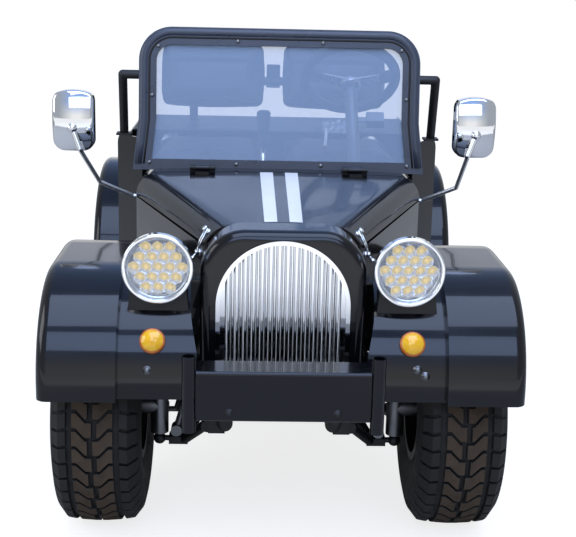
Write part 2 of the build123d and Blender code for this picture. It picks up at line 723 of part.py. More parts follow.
# Headlamps: bowl, bezel and post; the lens is a separate disc
BEZEL_D = 16.0
BOWL_T = 4.0
bezel_in = LAMP_R - LAMP_RIM
bowl = make_face(
    [
        ThreePointArc((LAMP_R - 4, BEZEL_D), (LAMP_R - 16, LAMP_DEPTH * 0.65), (12, LAMP_DEPTH)),
        Line((12, LAMP_DEPTH), (0, LAMP_DEPTH)),
        Line((0, LAMP_DEPTH), (0, LAMP_DEPTH - BOWL_T)),
        Line((0, LAMP_DEPTH - BOWL_T), (12, LAMP_DEPTH - BOWL_T)),
        ThreePointArc(
            (12, LAMP_DEPTH - BOWL_T), (LAMP_R - 20, LAMP_DEPTH * 0.62), (LAMP_R - 4 - BOWL_T, BEZEL_D)
        ),
        Line((LAMP_R - 4 - BOWL_T, BEZEL_D), (LAMP_R - 4, BEZEL_D)),
    ]
)
bezel = fillet(strip(bezel_in, LAMP_R, 0, BEZEL_D).vertices().sort_by(Axis.Y)[:2], 3)
at_lamp = Pos(LAMP_X, LAMP_FACE, LAMP_Z)
headlamp = at_lamp * revolve(bowl + bezel, Axis.Y)
lens = at_lamp * revolve(strip(0, bezel_in - SEAT, 5, 9), Axis.Y)

# Lamp stands: a saddle on the apron that the lamp's bowl sits in
stand_front = LAMP_FACE + BEZEL_D + 1
lamp_stand = slab_y(
    polygon(
        (LAMP_X - STAND_LOW_HALF, LAMP_Z - 2 * LAMP_R),
        (LAMP_X + STAND_LOW_HALF, LAMP_Z - 2 * LAMP_R),
        (LAMP_X + STAND_HIGH_HALF, LAMP_Z),
        (LAMP_X - STAND_HIGH_HALF, LAMP_Z),
    ),
    stand_front,
    stand_front + STAND_DEPTH,
)
saddle_r = LAMP_R - 4 + SEAT
lamp_stand -= between((LAMP_X, LAMP_FACE, LAMP_Z), (LAMP_X, LAMP_FACE + LAMP_DEPTH, LAMP_Z), saddle_r)
lamp_stand -= block(0, WING_OUT, LAMP_FACE, LAMP_FACE + LAMP_DEPTH, LAMP_Z - 0.6 * LAMP_R, NOSE_TOP)
lamp_stand -= over_apron

# Marker lamps: low round lenses square to the apron's front corner
apron_r = WING_NOSE_R - APRON_DROP
corner_y, corner_z = AXLE_F - WING_REACH + WING_NOSE_R, WING_TOP - WING_NOSE_R
tilt_y, tilt_z = -cos(radians(MARKER_TILT)), sin(radians(MARKER_TILT))


def on_corner(r):
    return (MARKER_X, corner_y + r * tilt_y, corner_z + r * tilt_z)


marker = between(on_corner(apron_r - 8), on_corner(apron_r + MARKER_T), MARKER_R) - over_apron

# Front bumper: a box beam between two round posts, on pads at the ends of the frame
BEAM_BACK = AXLE_F - 306.0
POST_Y = AXLE_F - FRONT_OVERHANG + POST_R
beam = block(-BUMPER_HALF, BUMPER_HALF, POST_Y - POST_R + 6, BEAM_BACK, BUMPER_LOW, BUMPER_HIGH)
beam = fillet(beam.edges().filter_by(Axis.X), 6)
bumper = Part() + [beam]
for side in (-1, 1):
    x = side * POST_X
    post = between((x, POST_Y, POST_LOW), (x, POST_Y, POST_HIGH), POST_R)
    post -= between((x, POST_Y, POST_HIGH - 60), (x, POST_Y, POST_HIGH + 1), POST_R - 2)
    tab_end = POST_X - POST_R + 1.5
    tab = block(BUMPER_HALF - 4, tab_end, POST_Y - 4, POST_Y + 4, BUMPER_LOW + 10, BUMPER_HIGH - 10)
    bumper += [post, tab if side > 0 else flipped(tab)]

# Mirrors: a pillowed case on a ball knob, on a bent rod from the cowl side
KNOB_R = 11.0
KNOB_DROP = 14.0
SLEEVE_R = 6.5
SLEEVE_DROP = 44.0
SLEEVE_IN = 17.0
mirror_line = RectangleRounded(MIRROR_W, MIRROR_H, MIRROR_CORNER)
mirror_line = mirror_line & (Pos(0, MIRROR_H / 2 - MIRROR_DOME) * Circle(MIRROR_DOME))
mirror_case = slab_y(mirror_line, -MIRROR_D / 2, MIRROR_D / 2)
mirror_case = mirror_case & (Pos(0, MIRROR_CROWN - MIRROR_D / 2, 0) * Sphere(MIRROR_CROWN))
crown_face = mirror_case.faces().filter_by(GeomType.SPHERE)
mirror_case = fillet(crown_face.edges(), MIRROR_EDGE)
knob_y = MIRROR_Y - MIRROR_D / 2 - 2
knob_z = MIRROR_Z - KNOB_DROP
rod_root = (COWL_HALF + SEAT, COWL_FRONT + 22, COWL_LIP - 8)
rod_stub = (rod_root[0] + 2 * MIRROR_ROD_R, rod_root[1], rod_root[2])
rod_bend = (COWL_HALF + 80, AXLE_F + 340, COWL_LIP + 35)


def side_mirror(x):
    knob = (x, knob_y, knob_z)
    neck = (x - SLEEVE_IN, knob_y - 8, knob_z - SLEEVE_DROP)
    return Part() + [
        Pos(x, MIRROR_Y, MIRROR_Z) * mirror_case,
        Pos(*knob) * Sphere(KNOB_R),
        between(knob, neck, SLEEVE_R),
        bar_run([rod_root, rod_stub, rod_bend, neck, knob], MIRROR_ROD_R),
    ]


def mirror_glass(x):
    return Pos(x, MIRROR_Y + MIRROR_D / 2 + SEAT + 1, MIRROR_Z) * Box(MIRROR_W - 30, 2, MIRROR_H - 40)


# Tube frame: two rails that step up over the rear axle, cross tubes, towers and brackets
STEP_Y = AXLE_R - 150.0
STEP_Z = 332.0
RAIL_FRONT = AXLE_F - 286.0
RAIL_RISE = 100.0
RAIL_HIGH = BUMPER_LOW + 20.0
PAD = 26.0
TOWER_Y = 100.0
TOWER_Z = 474.0
CARRIER_Y = AXLE_R - 180.0
rail = bar_run(
    [
        (RAIL_X, RAIL_FRONT, RAIL_HIGH),
        (RAIL_X, AXLE_F - RAIL_RISE, RAIL_Z),
        (RAIL_X, STEP_Y, RAIL_Z),
        (RAIL_X, STEP_Y + 90, STEP_Z),
        (RAIL_X, AXLE_R + 230, STEP_Z),
    ],
    RAIL_R,
)
bracket_plates = [
    block(RAIL_X - PAD, RAIL_X + PAD, BEAM_BACK + SEAT, RAIL_FRONT, BUMPER_LOW + 10, BUMPER_HIGH - 40),
    block(RAIL_X - 6, RAIL_X + 6, AXLE_F - 110, AXLE_F + 110, 340, 384),
    block(RAIL_X - 6, RAIL_X + 44, AXLE_F - 110, AXLE_F + 110, TOWER_Z + SEAT, TOWER_Z + 6),
    block(BEARING_X - 18, BEARING_X + 18, CARRIER_Y - 20, CARRIER_Y + 16, RAIL_Z - 24, RAIL_Z + 14),
]
for px, py, pz in (LOWER_PIVOT, UPPER_PIVOT):
    for y in (-py, py):
        for end in (-1, 1):
            inner = AXLE_F + y + end * (BUSH_HALF + SEAT)
            low, high = sorted((inner, inner + end * 5))
            bracket_plates.append(block(RAIL_X, px - 2, low, high, pz - BUSH_R, pz + 2 * BUSH_R))
half_frame = rail + bracket_plates
for y in (-TOWER_Y, TOWER_Y):
    half_frame += between((RAIL_X, AXLE_F + y, RAIL_Z), (RAIL_X, AXLE_F + y, TOWER_Z + 3), 12)
frame = half_frame + flipped(half_frame)
BOARD_X = 470.0
frame += between((-RAIL_X, RAIL_FRONT, RAIL_HIGH), (RAIL_X, RAIL_FRONT, RAIL_HIGH), RAIL_R - 3)
for y, reach in (
    (AXLE_F + 170, RAIL_X),
    (COWL_REAR, BOARD_X),
    (SEAT_FRONT + 60, BOARD_X),
    (CARRIER_Y, BEARING_X + 18),
):
    frame += between((-reach, y, RAIL_Z), (reach, y, RAIL_Z), RAIL_R - 3)
    if reach == BOARD_X:
        for x in (-reach, reach):
            frame += block(x - 20, x + 20, y - 20, y + 20, RAIL_Z - 8, SILL_LOW - SEAT)
frame += between((-RAIL_X, AXLE_R + 215, STEP_Z), (RAIL_X, AXLE_R + 215, STEP_Z), RAIL_R - 3)

# Shock absorbers between the lower arms and the towers
SHOCK_LOW = (KINGPIN_X - 36, AXLE_F, ARM_BALL_Z + 8 + 12 + 2 * SEAT)
SHOCK_HIGH = (RAIL_X + 24, AXLE_F, TOWER_Z - 12 - SEAT)
shock = Part() + [between(SHOCK_LOW, SHOCK_HIGH, 8)]
for x, y, z in (SHOCK_LOW, SHOCK_HIGH):
    shock += between((x, y - 14, z), (x, y + 14, z), 12)
spring_low = [a + (b - a) * 0.16 for a, b in zip(SHOCK_LOW, SHOCK_HIGH)]
spring_high = [a + (b - a) * 0.86 for a, b in zip(SHOCK_LOW, SHOCK_HIGH)]
shock += between(spring_low, spring_high, 19)

# Rear axle carriers with their bearings
carrier = block(
    BEARING_X - 10, BEARING_X + 10, CARRIER_Y + 16 + SEAT, AXLE_R, REAR_TYRE_R - 16, REAR_TYRE_R + 16
)
at_bearing = Pos(BEARING_X, AXLE_R, REAR_TYRE_R) * Rot(0, 90, 0)
carrier += at_bearing * Cylinder(BEARING_R, 2 * BEARING_HALF)
carrier -= at_bearing * Cylinder(AXLE_BAR_R + SPINDLE_FIT, 4 * BEARING_HALF)

# Floor, running boards, seat box and the tunnel between the foot wells
FLOOR_FRONT = AXLE_F + 330.0
SEAT_BOX_TOP = CUSHION_TOP - CUSHION_T - SEAT
HEEL_Y = SEAT_FRONT + 10.0
floor_pan = block(-FLOOR_HALF, FLOOR_HALF, FLOOR_FRONT, HEEL_Y + 30, FLOOR_Z, FLOOR_TOP)
board_front = AXLE_F + WING_TAIL + SEAT
board_rear = AXLE_R - REAR_TYRE_R - REAR_WING_GAP - 6
board = block(FLOOR_HALF + SEAT, SILL_OUT, board_front, board_rear, SILL_LOW, SILL_TOP)
board = fillet(board.edges().filter_by(Axis.Y).sort_by(Axis.X)[-2:], 8)
seat_box = Part() + [
    block(-SEAT_OUT, SEAT_OUT, HEEL_Y, SEAT_REAR + 40, SEAT_BOX_TOP - PANEL_T, SEAT_BOX_TOP),
    block(-FLOOR_HALF, FLOOR_HALF, HEEL_Y, HEEL_Y + PANEL_T, FLOOR_TOP + SEAT, SEAT_BOX_TOP),
]
TUNNEL_HALF = 62.0
TUNNEL_TOP = 430.0
TUNNEL_ROUND = 30.0
tunnel_line = arch(TUNNEL_HALF, FLOOR_TOP + SEAT, TUNNEL_TOP, TUNNEL_ROUND)
tunnel_line -= arch(TUNNEL_HALF - PANEL_T, 0, TUNNEL_TOP - PANEL_T, TUNNEL_ROUND - PANEL_T)
tunnel = slab_y(tunnel_line, COWL_FRONT + 3 + PANEL_T + SEAT, HEEL_Y - SEAT)

# Seats: cushions on the box, backs carried by a hoop
seat_w = SEAT_OUT - SEAT_HALF_GAP
seat_x = (SEAT_OUT + SEAT_HALF_GAP) / 2
cushion = fillet(Box(seat_w, SEAT_REAR - SEAT_FRONT, CUSHION_T).edges(), 24)
cushion = Pos(seat_x, (SEAT_FRONT + SEAT_REAR) / 2, CUSHION_TOP - CUSHION_T / 2) * cushion
BACK_Y = SEAT_REAR + 120.0
back = fillet(Box(seat_w, BACK_T, BACK_HIGH - BACK_LOW).edges(), 30)
at_back = Pos(seat_x, BACK_Y, BACK_LOW) * Rot(-BACK_RAKE, 0, 0)
back = at_back * Pos(0, BACK_T / 2, (BACK_HIGH - BACK_LOW) / 2) * back
HOOP_R = 13.0
HOOP_Z = 790.0
MAST_HALF = 21.0
MAST_TOP = 842.0
lean = radians(BACK_RAKE)
hoop_y = BACK_Y + (BACK_T + HOOP_R + SEAT) / cos(lean) + (HOOP_Z - BACK_LOW) * tan(lean)
DECK_Z = QUARTER_TOP
HOOP_HALF = 250.0
hoop_foot = DECK_Z + SEAT
hoop_path = [(-HOOP_HALF, hoop_foot), (-HOOP_HALF, HOOP_Z), (HOOP_HALF, HOOP_Z), (HOOP_HALF, hoop_foot)]
hoop = bar_run([(x, hoop_y, z) for x, z in hoop_path], HOOP_R)
hoop += block(-MAST_HALF, MAST_HALF, hoop_y - 4, hoop_y + 4, HOOP_Z - 20, MAST_TOP)

# Steering wheel on its shaft, in a column tube held by a bar across the cowl
on_column = Pos(WHEEL_X, WHEEL_Y, WHEEL_Z) * Rot(-COLUMN_TILT, 0, 0)
SHAFT_TOP = 44.0
SHAFT_LONG = 130.0
steering_wheel = Torus(WHEEL_R - WHEEL_TUBE, WHEEL_TUBE) + Pos(0, 0, -12) * Cylinder(26, 24)
spoke = Pos((WHEEL_R - WHEEL_TUBE) / 2, 0, -4) * Box(WHEEL_R - WHEEL_TUBE, 30, 4)
for turn in (14, 166, 270):
    steering_wheel += Rot(0, 0, turn) * spoke
steering_wheel += Pos(0, 0, -SHAFT_LONG / 2) * Cylinder(SHAFT_R, SHAFT_LONG)
steering_wheel = on_column * steering_wheel
BAR_Y = COWL_REAR - 53.0
COLUMN_LONG = 380.0
DASH_HOLE = 6.0
bar_z = WHEEL_Z - (WHEEL_Y - BAR_Y) / tan(radians(COLUMN_TILT))
column = on_column * Pos(0, 0, -SHAFT_TOP - COLUMN_LONG / 2) * Cylinder(COLUMN_R, COLUMN_LONG)
bar_end = COWL_HALF - PANEL_T - SEAT
column += between((-bar_end, BAR_Y, bar_z), (bar_end, BAR_Y, bar_z), 11)
column -= on_column * Pos(0, 0, -SHAFT_LONG / 2 - 4) * Cylinder(SHAFT_R + SPINDLE_FIT, SHAFT_LONG + 8)
cowl -= on_column * Pos(0, 0, -SHAFT_TOP - COLUMN_LONG / 2) * Cylinder(COLUMN_R + DASH_HOLE, COLUMN_LONG)

# On the column: a bracket plate with the throttle lever, and the key switch box on a short arm
PLATE_AT = 168.0
PLATE_W = 64.0
PLATE_H = 38.0
SWITCH_AT = 140.0
SWITCH_OUT = 58.0
column += on_column * Pos(-COLUMN_R - PLATE_W / 2 + 4, 0, -PLATE_AT) * Box(PLATE_W, 5, PLATE_H)
column += on_column * Pos(SWITCH_OUT, 0, -SWITCH_AT) * Box(44, 26, 30)
column += on_column * Pos(SWITCH_OUT / 2, 0, -SWITCH_AT) * Box(SWITCH_OUT, 4, 14)
column -= on_column * Pos(0, 0, -SHAFT_LONG / 2 - 4) * Cylinder(SHAFT_R + SPINDLE_FIT, SHAFT_LONG + 8)

# Pedals, gear lever and switch box
pedals = Part()
for x in (105.0, 262.0):
    pedals += [
        between((x, FLOOR_FRONT + 120, FLOOR_TOP - 8), (x, FLOOR_FRONT + 90, 400), 7),
        Pos(x, FLOOR_FRONT + 92, 400) * Rot(-25, 0, 0) * Box(56, 6, 70),
    ]
pedals -= block(0, FLOOR_HALF, FLOOR_FRONT, HEEL_Y, FLOOR_Z - 20, FLOOR_TOP + SEAT)
LEVER = (-34.0, SEAT_FRONT - 40.0)
LEVER_TOP = 776.0
shift_lever = Part() + [
    between((*LEVER, TUNNEL_TOP + SEAT), (*LEVER, TUNNEL_TOP + 30), 26),
    between((*LEVER, TUNNEL_TOP + 4), (*LEVER, LEVER_TOP - 40), 7),
    between((*LEVER, LEVER_TOP - 86), (*LEVER, LEVER_TOP), 15),
]

# Rear body: wings over the wheels, quarter panels, deck and tail
REAR_WING_R = REAR_TYRE_R + REAR_WING_GAP + WING_T
rear_profile = wing_profile(REAR_WING_IN, REAR_WING_OUT, REAR_WING_R)
rear_wing = around(rear_profile, REAR_WING_ANGLE, 180 - REAR_WING_ANGLE, AXLE_R, REAR_TYRE_R)
over_wing = between((0, AXLE_R, REAR_TYRE_R), (REAR_WING_OUT, AXLE_R, REAR_TYRE_R), REAR_WING_R + SEAT)
quarter = block(QUARTER_OUT - PANEL_T, QUARTER_OUT, QUARTER_FRONT, TAIL_REAR, SILL_TOP + SEAT, QUARTER_TOP)
quarter_corner = quarter.edges().filter_by(Axis.X).group_by(Axis.Z)[-1].sort_by(Axis.Y)[0]
quarter = fillet(quarter_corner, QUARTER_ROUND) - over_wing
DECK_FRONT = SEAT_REAR + 12.0
TAIL_BEND = 60.0


def bent_sheet(t):
    """Deck and tail in Y and Z: level, round the bend and down."""
    bend_y, top = TAIL_REAR - TAIL_BEND, QUARTER_TOP - t
    r = TAIL_BEND - t
    return [
        Line((DECK_FRONT, top), (bend_y, top)),
        RadiusArc((bend_y, top), (bend_y + r, top - r), r),
        Line((bend_y + r, top - r), (bend_y + r, TAIL_LOW)),
    ]


deck_edges = bent_sheet(0) + bent_sheet(PANEL_T)
deck_edges += [
    Line((DECK_FRONT, QUARTER_TOP), (DECK_FRONT, QUARTER_TOP - PANEL_T)),
    Line((TAIL_REAR, TAIL_LOW), (TAIL_REAR - PANEL_T, TAIL_LOW)),
]
deck_half = QUARTER_OUT - PANEL_T - SEAT
deck = slab_x(make_face(deck_edges), -deck_half, deck_half)
deck -= over_wing + flipped(over_wing)

# Engine, silencer, rear bumper and tail lamps
engine = fillet(block(-130, 40, AXLE_R - 420, AXLE_R - 190, RAIL_Z + RAIL_R + SEAT, 470).edges(), 12)
SILENCER_R = 52.0
silencer_z = STEP_Z + RAIL_R + SILENCER_R + SEAT
silencer = between((-240, AXLE_R + 150, silencer_z), (80, AXLE_R + 150, silencer_z), SILENCER_R)
silencer += between((-160, AXLE_R + 150, silencer_z), (-160, AXLE_R - 185, silencer_z), 17)
rear_bar_y = AXLE_R + REAR_OVERHANG - POST_R
rear_half = REAR_WING_IN - 2 * POST_R
rear_bumper = between((-rear_half, rear_bar_y, STEP_Z + 30), (rear_half, rear_bar_y, STEP_Z + 30), POST_R)
for x in (-RAIL_X, RAIL_X):
    stay_end = (x, AXLE_R + 230 + SEAT, STEP_Z)
    rear_bumper += bar_run([stay_end, (x, AXLE_R + 260, STEP_Z), (x, rear_bar_y, STEP_Z + 30)], 11)
tail_lamp = between((330, TAIL_REAR + SEAT, 560), (330, TAIL_REAR + 20, 560), 38)

# One file a piece
os.makedirs("parts", exist_ok=True)
PARTS = {
    "frame": frame,
    "floor_pan": floor_pan,
    "front_bumper": bumper,
    "nose_shell": nose_shell,
    "grille": grille,
    "grille_screen": grille_screen,
    "hood": hood,
    "bonnet_sides": pair(bonnet_side),
    "cowl": cowl,
    "hood_hinges": pair(hood_hinge),
    "door_jambs": pair(jamb),
    "windscreen_frame": screen_frame,
    "windscreen_glass": windscreen,
    "windscreen_stays": pair(screen_stay),
    "front_wings": pair(front_wing),
    "front_aprons": pair(apron),
    "headlamps": pair(headlamp),
    "headlamp_lenses": pair(lens),
    "lamp_stands": pair(lamp_stand),
    "marker_lamps": pair(marker),
    "side_mirrors": side_mirror(MIRROR_RIGHT) + flipped(side_mirror(MIRROR_LEFT)),
    "mirror_glasses": mirror_glass(MIRROR_RIGHT) + flipped(mirror_glass(MIRROR_LEFT)),
    "running_boards": pair(board),
    "seat_box": seat_box,
    "tunnel": tunnel,
    "seat_cushion_left": flipped(cushion),
    "seat_cushion_right": cushion,
    "seat_back_left": flipped(back),
    "seat_back_right": back,
    "seat_hoop": hoop,
    "steering_wheel": steering_wheel,
    "steering_column": column,
    "pedals": pedals,
    "shift_lever": shift_lever,
    "lower_arms": pair(lower_arm),
    "upper_arms": pair(upper_arm),
    "shocks": pair(shock),
    "knuckle_left": flipped(knuckle),
    "knuckle_right": knuckle,
    "tie_rod": tie_rod,
    "tyre_front_left": flipped(front_tyre),
    "tyre_front_right": front_tyre,
    "rim_front_left": flipped(front_rim),
    "rim_front_right": front_rim,
    "tyre_rear_left": flipped(rear_tyre),
    "tyre_rear_right": rear_tyre,
    "rims_rear": pair(rear_rim),
    "rear_axle": rear_axle,
    "axle_carriers": pair(carrier),
    "rear_wings": pair(rear_wing),
    "quarter_panels": pair(quarter),
    "rear_deck": deck,
    "engine": engine,
    "silencer": silencer,
    "rear_bumper": rear_bumper,
    "tail_lamps": pair(tail_lamp),
}
for name, shape in PARTS.items():
    export_step(shape, f"parts/{name}.step")
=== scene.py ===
# %% [markdown]
# # A retro roadster kart
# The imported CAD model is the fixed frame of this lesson: its panels, lamps and running gear are already in
# place, in metres. The script dresses it. Hard panels keep their CAD shape and get a finish; tyres, lamps,
# seats and the steering wheel are built here as the real ones are made, and stand where their CAD solids
# stand.

import math

import bmesh
import bpy
from mathutils import Matrix, Vector
from mathutils.bvhtree import BVHTree


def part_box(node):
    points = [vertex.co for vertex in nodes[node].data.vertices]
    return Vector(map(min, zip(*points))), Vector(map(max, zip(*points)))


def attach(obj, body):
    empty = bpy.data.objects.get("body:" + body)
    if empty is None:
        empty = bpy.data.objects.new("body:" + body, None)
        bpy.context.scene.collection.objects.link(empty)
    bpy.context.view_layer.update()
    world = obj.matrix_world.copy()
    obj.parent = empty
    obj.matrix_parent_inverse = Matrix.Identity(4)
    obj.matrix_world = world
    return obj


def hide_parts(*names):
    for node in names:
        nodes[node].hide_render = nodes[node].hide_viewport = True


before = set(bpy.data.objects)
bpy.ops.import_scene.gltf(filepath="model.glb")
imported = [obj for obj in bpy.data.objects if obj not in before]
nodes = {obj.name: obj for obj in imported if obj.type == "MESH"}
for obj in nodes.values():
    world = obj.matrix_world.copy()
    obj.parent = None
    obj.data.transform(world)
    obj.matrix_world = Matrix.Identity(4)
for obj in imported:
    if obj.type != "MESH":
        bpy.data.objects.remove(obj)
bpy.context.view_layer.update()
MM = 0.001
AXLE_F = -0.640
AXLE_R = 0.690

# %% [markdown]
# ## Camera
# The photograph was taken from in front, a little to one side and above, about two and a third metres ahead
# of the front axle. A camera can be placed by eye or solved from known sizes; here it was solved from pairs
# of features that are the same on both sides, which fixes its height, pitch, yaw and roll, so only those
# values are needed.

# %% Camera at the photograph's viewing angle
CAMERA_PLACE = Vector((-0.0623, AXLE_F - 2.35, 1.1411))
CAMERA_PITCH, CAMERA_YAW, CAMERA_ROLL = (math.radians(a) for a in (14.333, 1.873, 1.329))
FOCAL_PIXELS, PHOTO_WIDTH, SENSOR_MM = 1180, 576, 36.0
ahead = Vector((
    math.sin(CAMERA_YAW) * math.cos(CAMERA_PITCH),
    math.cos(CAMERA_YAW) * math.cos(CAMERA_PITCH),
    -math.sin(CAMERA_PITCH),
))
level = ahead.cross(Vector((0, 0, 1))).normalized()
above = level.cross(ahead)
right = level * math.cos(CAMERA_ROLL) + above * math.sin(CAMERA_ROLL)
top = above * math.cos(CAMERA_ROLL) - level * math.sin(CAMERA_ROLL)
lens = bpy.data.cameras.new("photo_camera")
lens.sensor_fit = "HORIZONTAL"
lens.sensor_width = SENSOR_MM
lens.lens = SENSOR_MM * FOCAL_PIXELS / PHOTO_WIDTH
camera = bpy.data.objects.new("photo_camera", lens)
turn = Matrix((right, top, -ahead)).transposed()
camera.matrix_world = Matrix.Translation(CAMERA_PLACE) @ turn.to_4x4()
bpy.context.scene.collection.objects.link(camera)
bpy.context.scene.camera = camera
print("lens", round(lens.lens, 2), "mm")

# %% [markdown]
# ## Colours and nodes
# Paint charts give colours as sRGB hex values, but shaders work in linear light, so one function converts
# them. One more adds a node to a material with its settings and links. Steps that recur, such as a mix of
# two colours or a noise with a step in millimetres, are functions as well, and the last one puts a finish
# in patches together, so that each finish below reads as a recipe. Copying the same nodes into every
# material would hide what differs.

# %% Colour and node helpers


def linear(code):
    """An sRGB hex value as a linear colour."""
    parts = [int(code[i : i + 2], 16) / 255 for i in (1, 3, 5)]
    return [c / 12.92 if c <= 0.04045 else ((c + 0.055) / 1.055) ** 2.4 for c in parts] + [1.0]


def add(tree, kind, inputs=None, **settings):
    """Adds a node; an input given as a socket is linked, any other value is set."""
    made = tree.nodes.new(kind)
    for name, value in settings.items():
        setattr(made, name, value)
    for name, value in (inputs or {}).items():
        if isinstance(value, bpy.types.NodeSocket):
            tree.links.new(value, made.inputs[name])
        else:
            made.inputs[name].default_value = value
    return made


def finish(name, **shader):
    """A new material with the given shader sockets; returns it with its tree and its shader."""
    material = bpy.data.materials.new(name)
    material.use_nodes = True
    tree = material.node_tree
    surface = tree.nodes["Principled BSDF"]
    for socket, value in shader.items():
        surface.inputs[socket.replace("_", " ")].default_value = value
    return material, tree, surface


# %% Small steps of a recipe
NOISE_SPREAD = (0.3, 0.7)


def per_metre(size_mm):
    """A texture scale at which one pattern step is size_mm long."""
    return 1 / (size_mm * MM)


def place_on(tree):
    """The surface point in metres, the same in every pose because it belongs to the object."""
    return add(tree, "ShaderNodeTexCoord").outputs["Object"]


def mixed(tree, share, one, other):
    """A colour that goes from one to the other with share; each is a socket or a hex value."""
    first, last = (linear(c) if isinstance(c, str) else c for c in (one, other))
    return add(tree, "ShaderNodeMixRGB", {"Fac": share, "Color1": first, "Color2": last}).outputs["Color"]


def ramp(tree, value, start, end, low=0.0, high=1.0):
    """A number that goes from low to high as value goes from start to end."""
    sockets = {"Value": value, "From Min": start, "From Max": end, "To Min": low, "To Max": high}
    return add(tree, "ShaderNodeMapRange", sockets).outputs["Result"]


def reckoned(tree, operation, *values):
    """The result of one step of arithmetic."""
    return add(tree, "ShaderNodeMath", dict(enumerate(values)), operation=operation).outputs["Value"]


def varied(tree, where, step_mm, low, high, detail):
    """A noise pattern of step_mm, and a number that wanders between low and high with it."""
    noise = {"Vector": where, "Scale": per_metre(step_mm), "Detail": detail}
    pattern = add(tree, "ShaderNodeTexNoise", noise).outputs["Fac"]
    return pattern, ramp(tree, pattern, *NOISE_SPREAD, low, high)


def relief(tree, surface, height, depth_mm, strength):
    """Bumps the surface by height times depth_mm."""
    bump = add(tree, "ShaderNodeBump", {"Height": height, "Distance": depth_mm * MM, "Strength": strength})
    tree.links.new(bump.outputs["Normal"], surface.inputs["Normal"])


# %% A finish in patches


def mottled(name, tints, patch_mm, rough=None, grain=None, detail=3.0, **shader):
    """A material with two tints in patches, a roughness range over them and a grain in relief.

    The grain is its step and depth in mm, its strength and the detail of its noise.
    """
    material, tree, surface = finish(name, **shader)
    where = place_on(tree)
    patch, spread = varied(tree, where, patch_mm, *(rough or (0, 1)), detail)
    tree.links.new(mixed(tree, patch, *tints), surface.inputs["Base Color"])
    if rough:
        tree.links.new(spread, surface.inputs["Roughness"])
    if grain:
        step_mm, depth_mm, strength, grain_detail = grain
        height, _ = varied(tree, where, step_mm, 0, 1, grain_detail)
        relief(tree, surface, height, depth_mm, strength)
    return material


# %% [markdown]
# ## Studio
# Black lacquer and chrome show the room more than themselves. The kart stands on white paper in front of a
# white backdrop that turns pale blue overhead, as an open sky does, and wide soft lamps give its panels
# long quiet reflections. A strong lamp would bleach the paper; instead the paper and the backdrop are white
# to the eye and in reflections only, and light the kart at a plain level. Close to the kart the paper is
# dim in reflections, so that the lacquer stays black, and ahead of it bright, for the chrome. It keeps the
# shadow that sets the kart on the ground.

# %% Paper floor
FLOOR_SIZE = 40.0
PAPER_GLOW = 0.78
NEAR_PAPER, FAR_PAPER = -2.5, -2.9
NEAR_SHINE, FAR_SHINE = 0.1, 1.0


def seen(tree, gloss=1.0):
    """1 for what the eye or a see-through sheet shows, gloss for a reflection, 0 for light on a surface."""
    rays = add(tree, "ShaderNodeLightPath")
    mirrored = reckoned(tree, "MULTIPLY", rays.outputs["Is Glossy Ray"], gloss)
    shown = reckoned(tree, "MAXIMUM", rays.outputs["Is Camera Ray"], mirrored)
    return reckoned(tree, "MAXIMUM", shown, rays.outputs["Is Transmission Ray"])


bpy.ops.mesh.primitive_plane_add(size=FLOOR_SIZE, location=(0, 0, 0))
floor = bpy.context.object
floor.name = "studio_floor"
paper, tree, surface = finish("seamless_paper", Roughness=0.9, Base_Color=linear("#a6a6a5"))
floor.data.materials.append(paper)
place = add(tree, "ShaderNodeSeparateXYZ", {"Vector": place_on(tree)})
shine = ramp(tree, place.outputs["Y"], NEAR_PAPER, FAR_PAPER, NEAR_SHINE, FAR_SHINE)
glow = reckoned(tree, "MULTIPLY", seen(tree, shine), PAPER_GLOW)
surface.inputs["Emission Color"].default_value = linear("#ffffff")
tree.links.new(glow, surface.inputs["Emission Strength"])
print(floor.name, FLOOR_SIZE, "m")

# %% Backdrop
SKY_FROM, SKY_FULL = 0.08, 0.5
WALL_FROM, WALL_FULL = 0.12, 0.55
bpy.context.scene.view_settings.view_transform = "Standard"
world = bpy.data.worlds.new("studio_world")
bpy.context.scene.world = world
world.use_nodes = True
tree = world.node_tree
way = add(tree, "ShaderNodeTexCoord").outputs["Generated"]
parts = add(tree, "ShaderNodeSeparateXYZ", {"Vector": way})
overhead = ramp(tree, parts.outputs["Z"], SKY_FROM, SKY_FULL)
sideways = ramp(tree, reckoned(tree, "ABSOLUTE", parts.outputs["X"]), WALL_FROM, WALL_FULL)
room = mixed(tree, sideways, mixed(tree, overhead, "#ffffff", "#9dbbf4"), "#a9afb8")
eye = add(tree, "ShaderNodeLightPath").outputs["Is Camera Ray"]
shown = mixed(tree, seen(tree), "#c4cad3", mixed(tree, eye, room, "#ffffff"))
backdrop = tree.nodes["Background"]
tree.links.new(shown, backdrop.inputs["Color"])
backdrop.inputs["Strength"].default_value = 1.0
print(world.name)

# %% Soft lamps
LAMP_AIM = Vector((0, 0, 0.4))
for name, place, size, power, colour in (
    ("softbox_top", (0.3, -1.4, 3.4), (3.2, 2.2), 84, "#c6d8ff"),
    ("softbox_front", (0.2, -4.2, 3.0), (3.6, 1.6), 60, "#bcd2ff"),
    ("softbox_left", (-3.2, -1.2, 1.9), (1.8, 1.8), 30, "#f3f5fa"),
):
    light = bpy.data.lights.new(name, "AREA")
    light.shape = "RECTANGLE"
    light.size, light.size_y = size
    light.energy = power
    light.color = linear(colour)[:3]
    lamp = bpy.data.objects.new(name, light)
    lamp.location = place
    lamp.rotation_euler = (LAMP_AIM - Vector(place)).to_track_quat("-Z", "Y").to_euler()
    bpy.context.scene.collection.objects.link(lamp)
    print(name, power, "W")
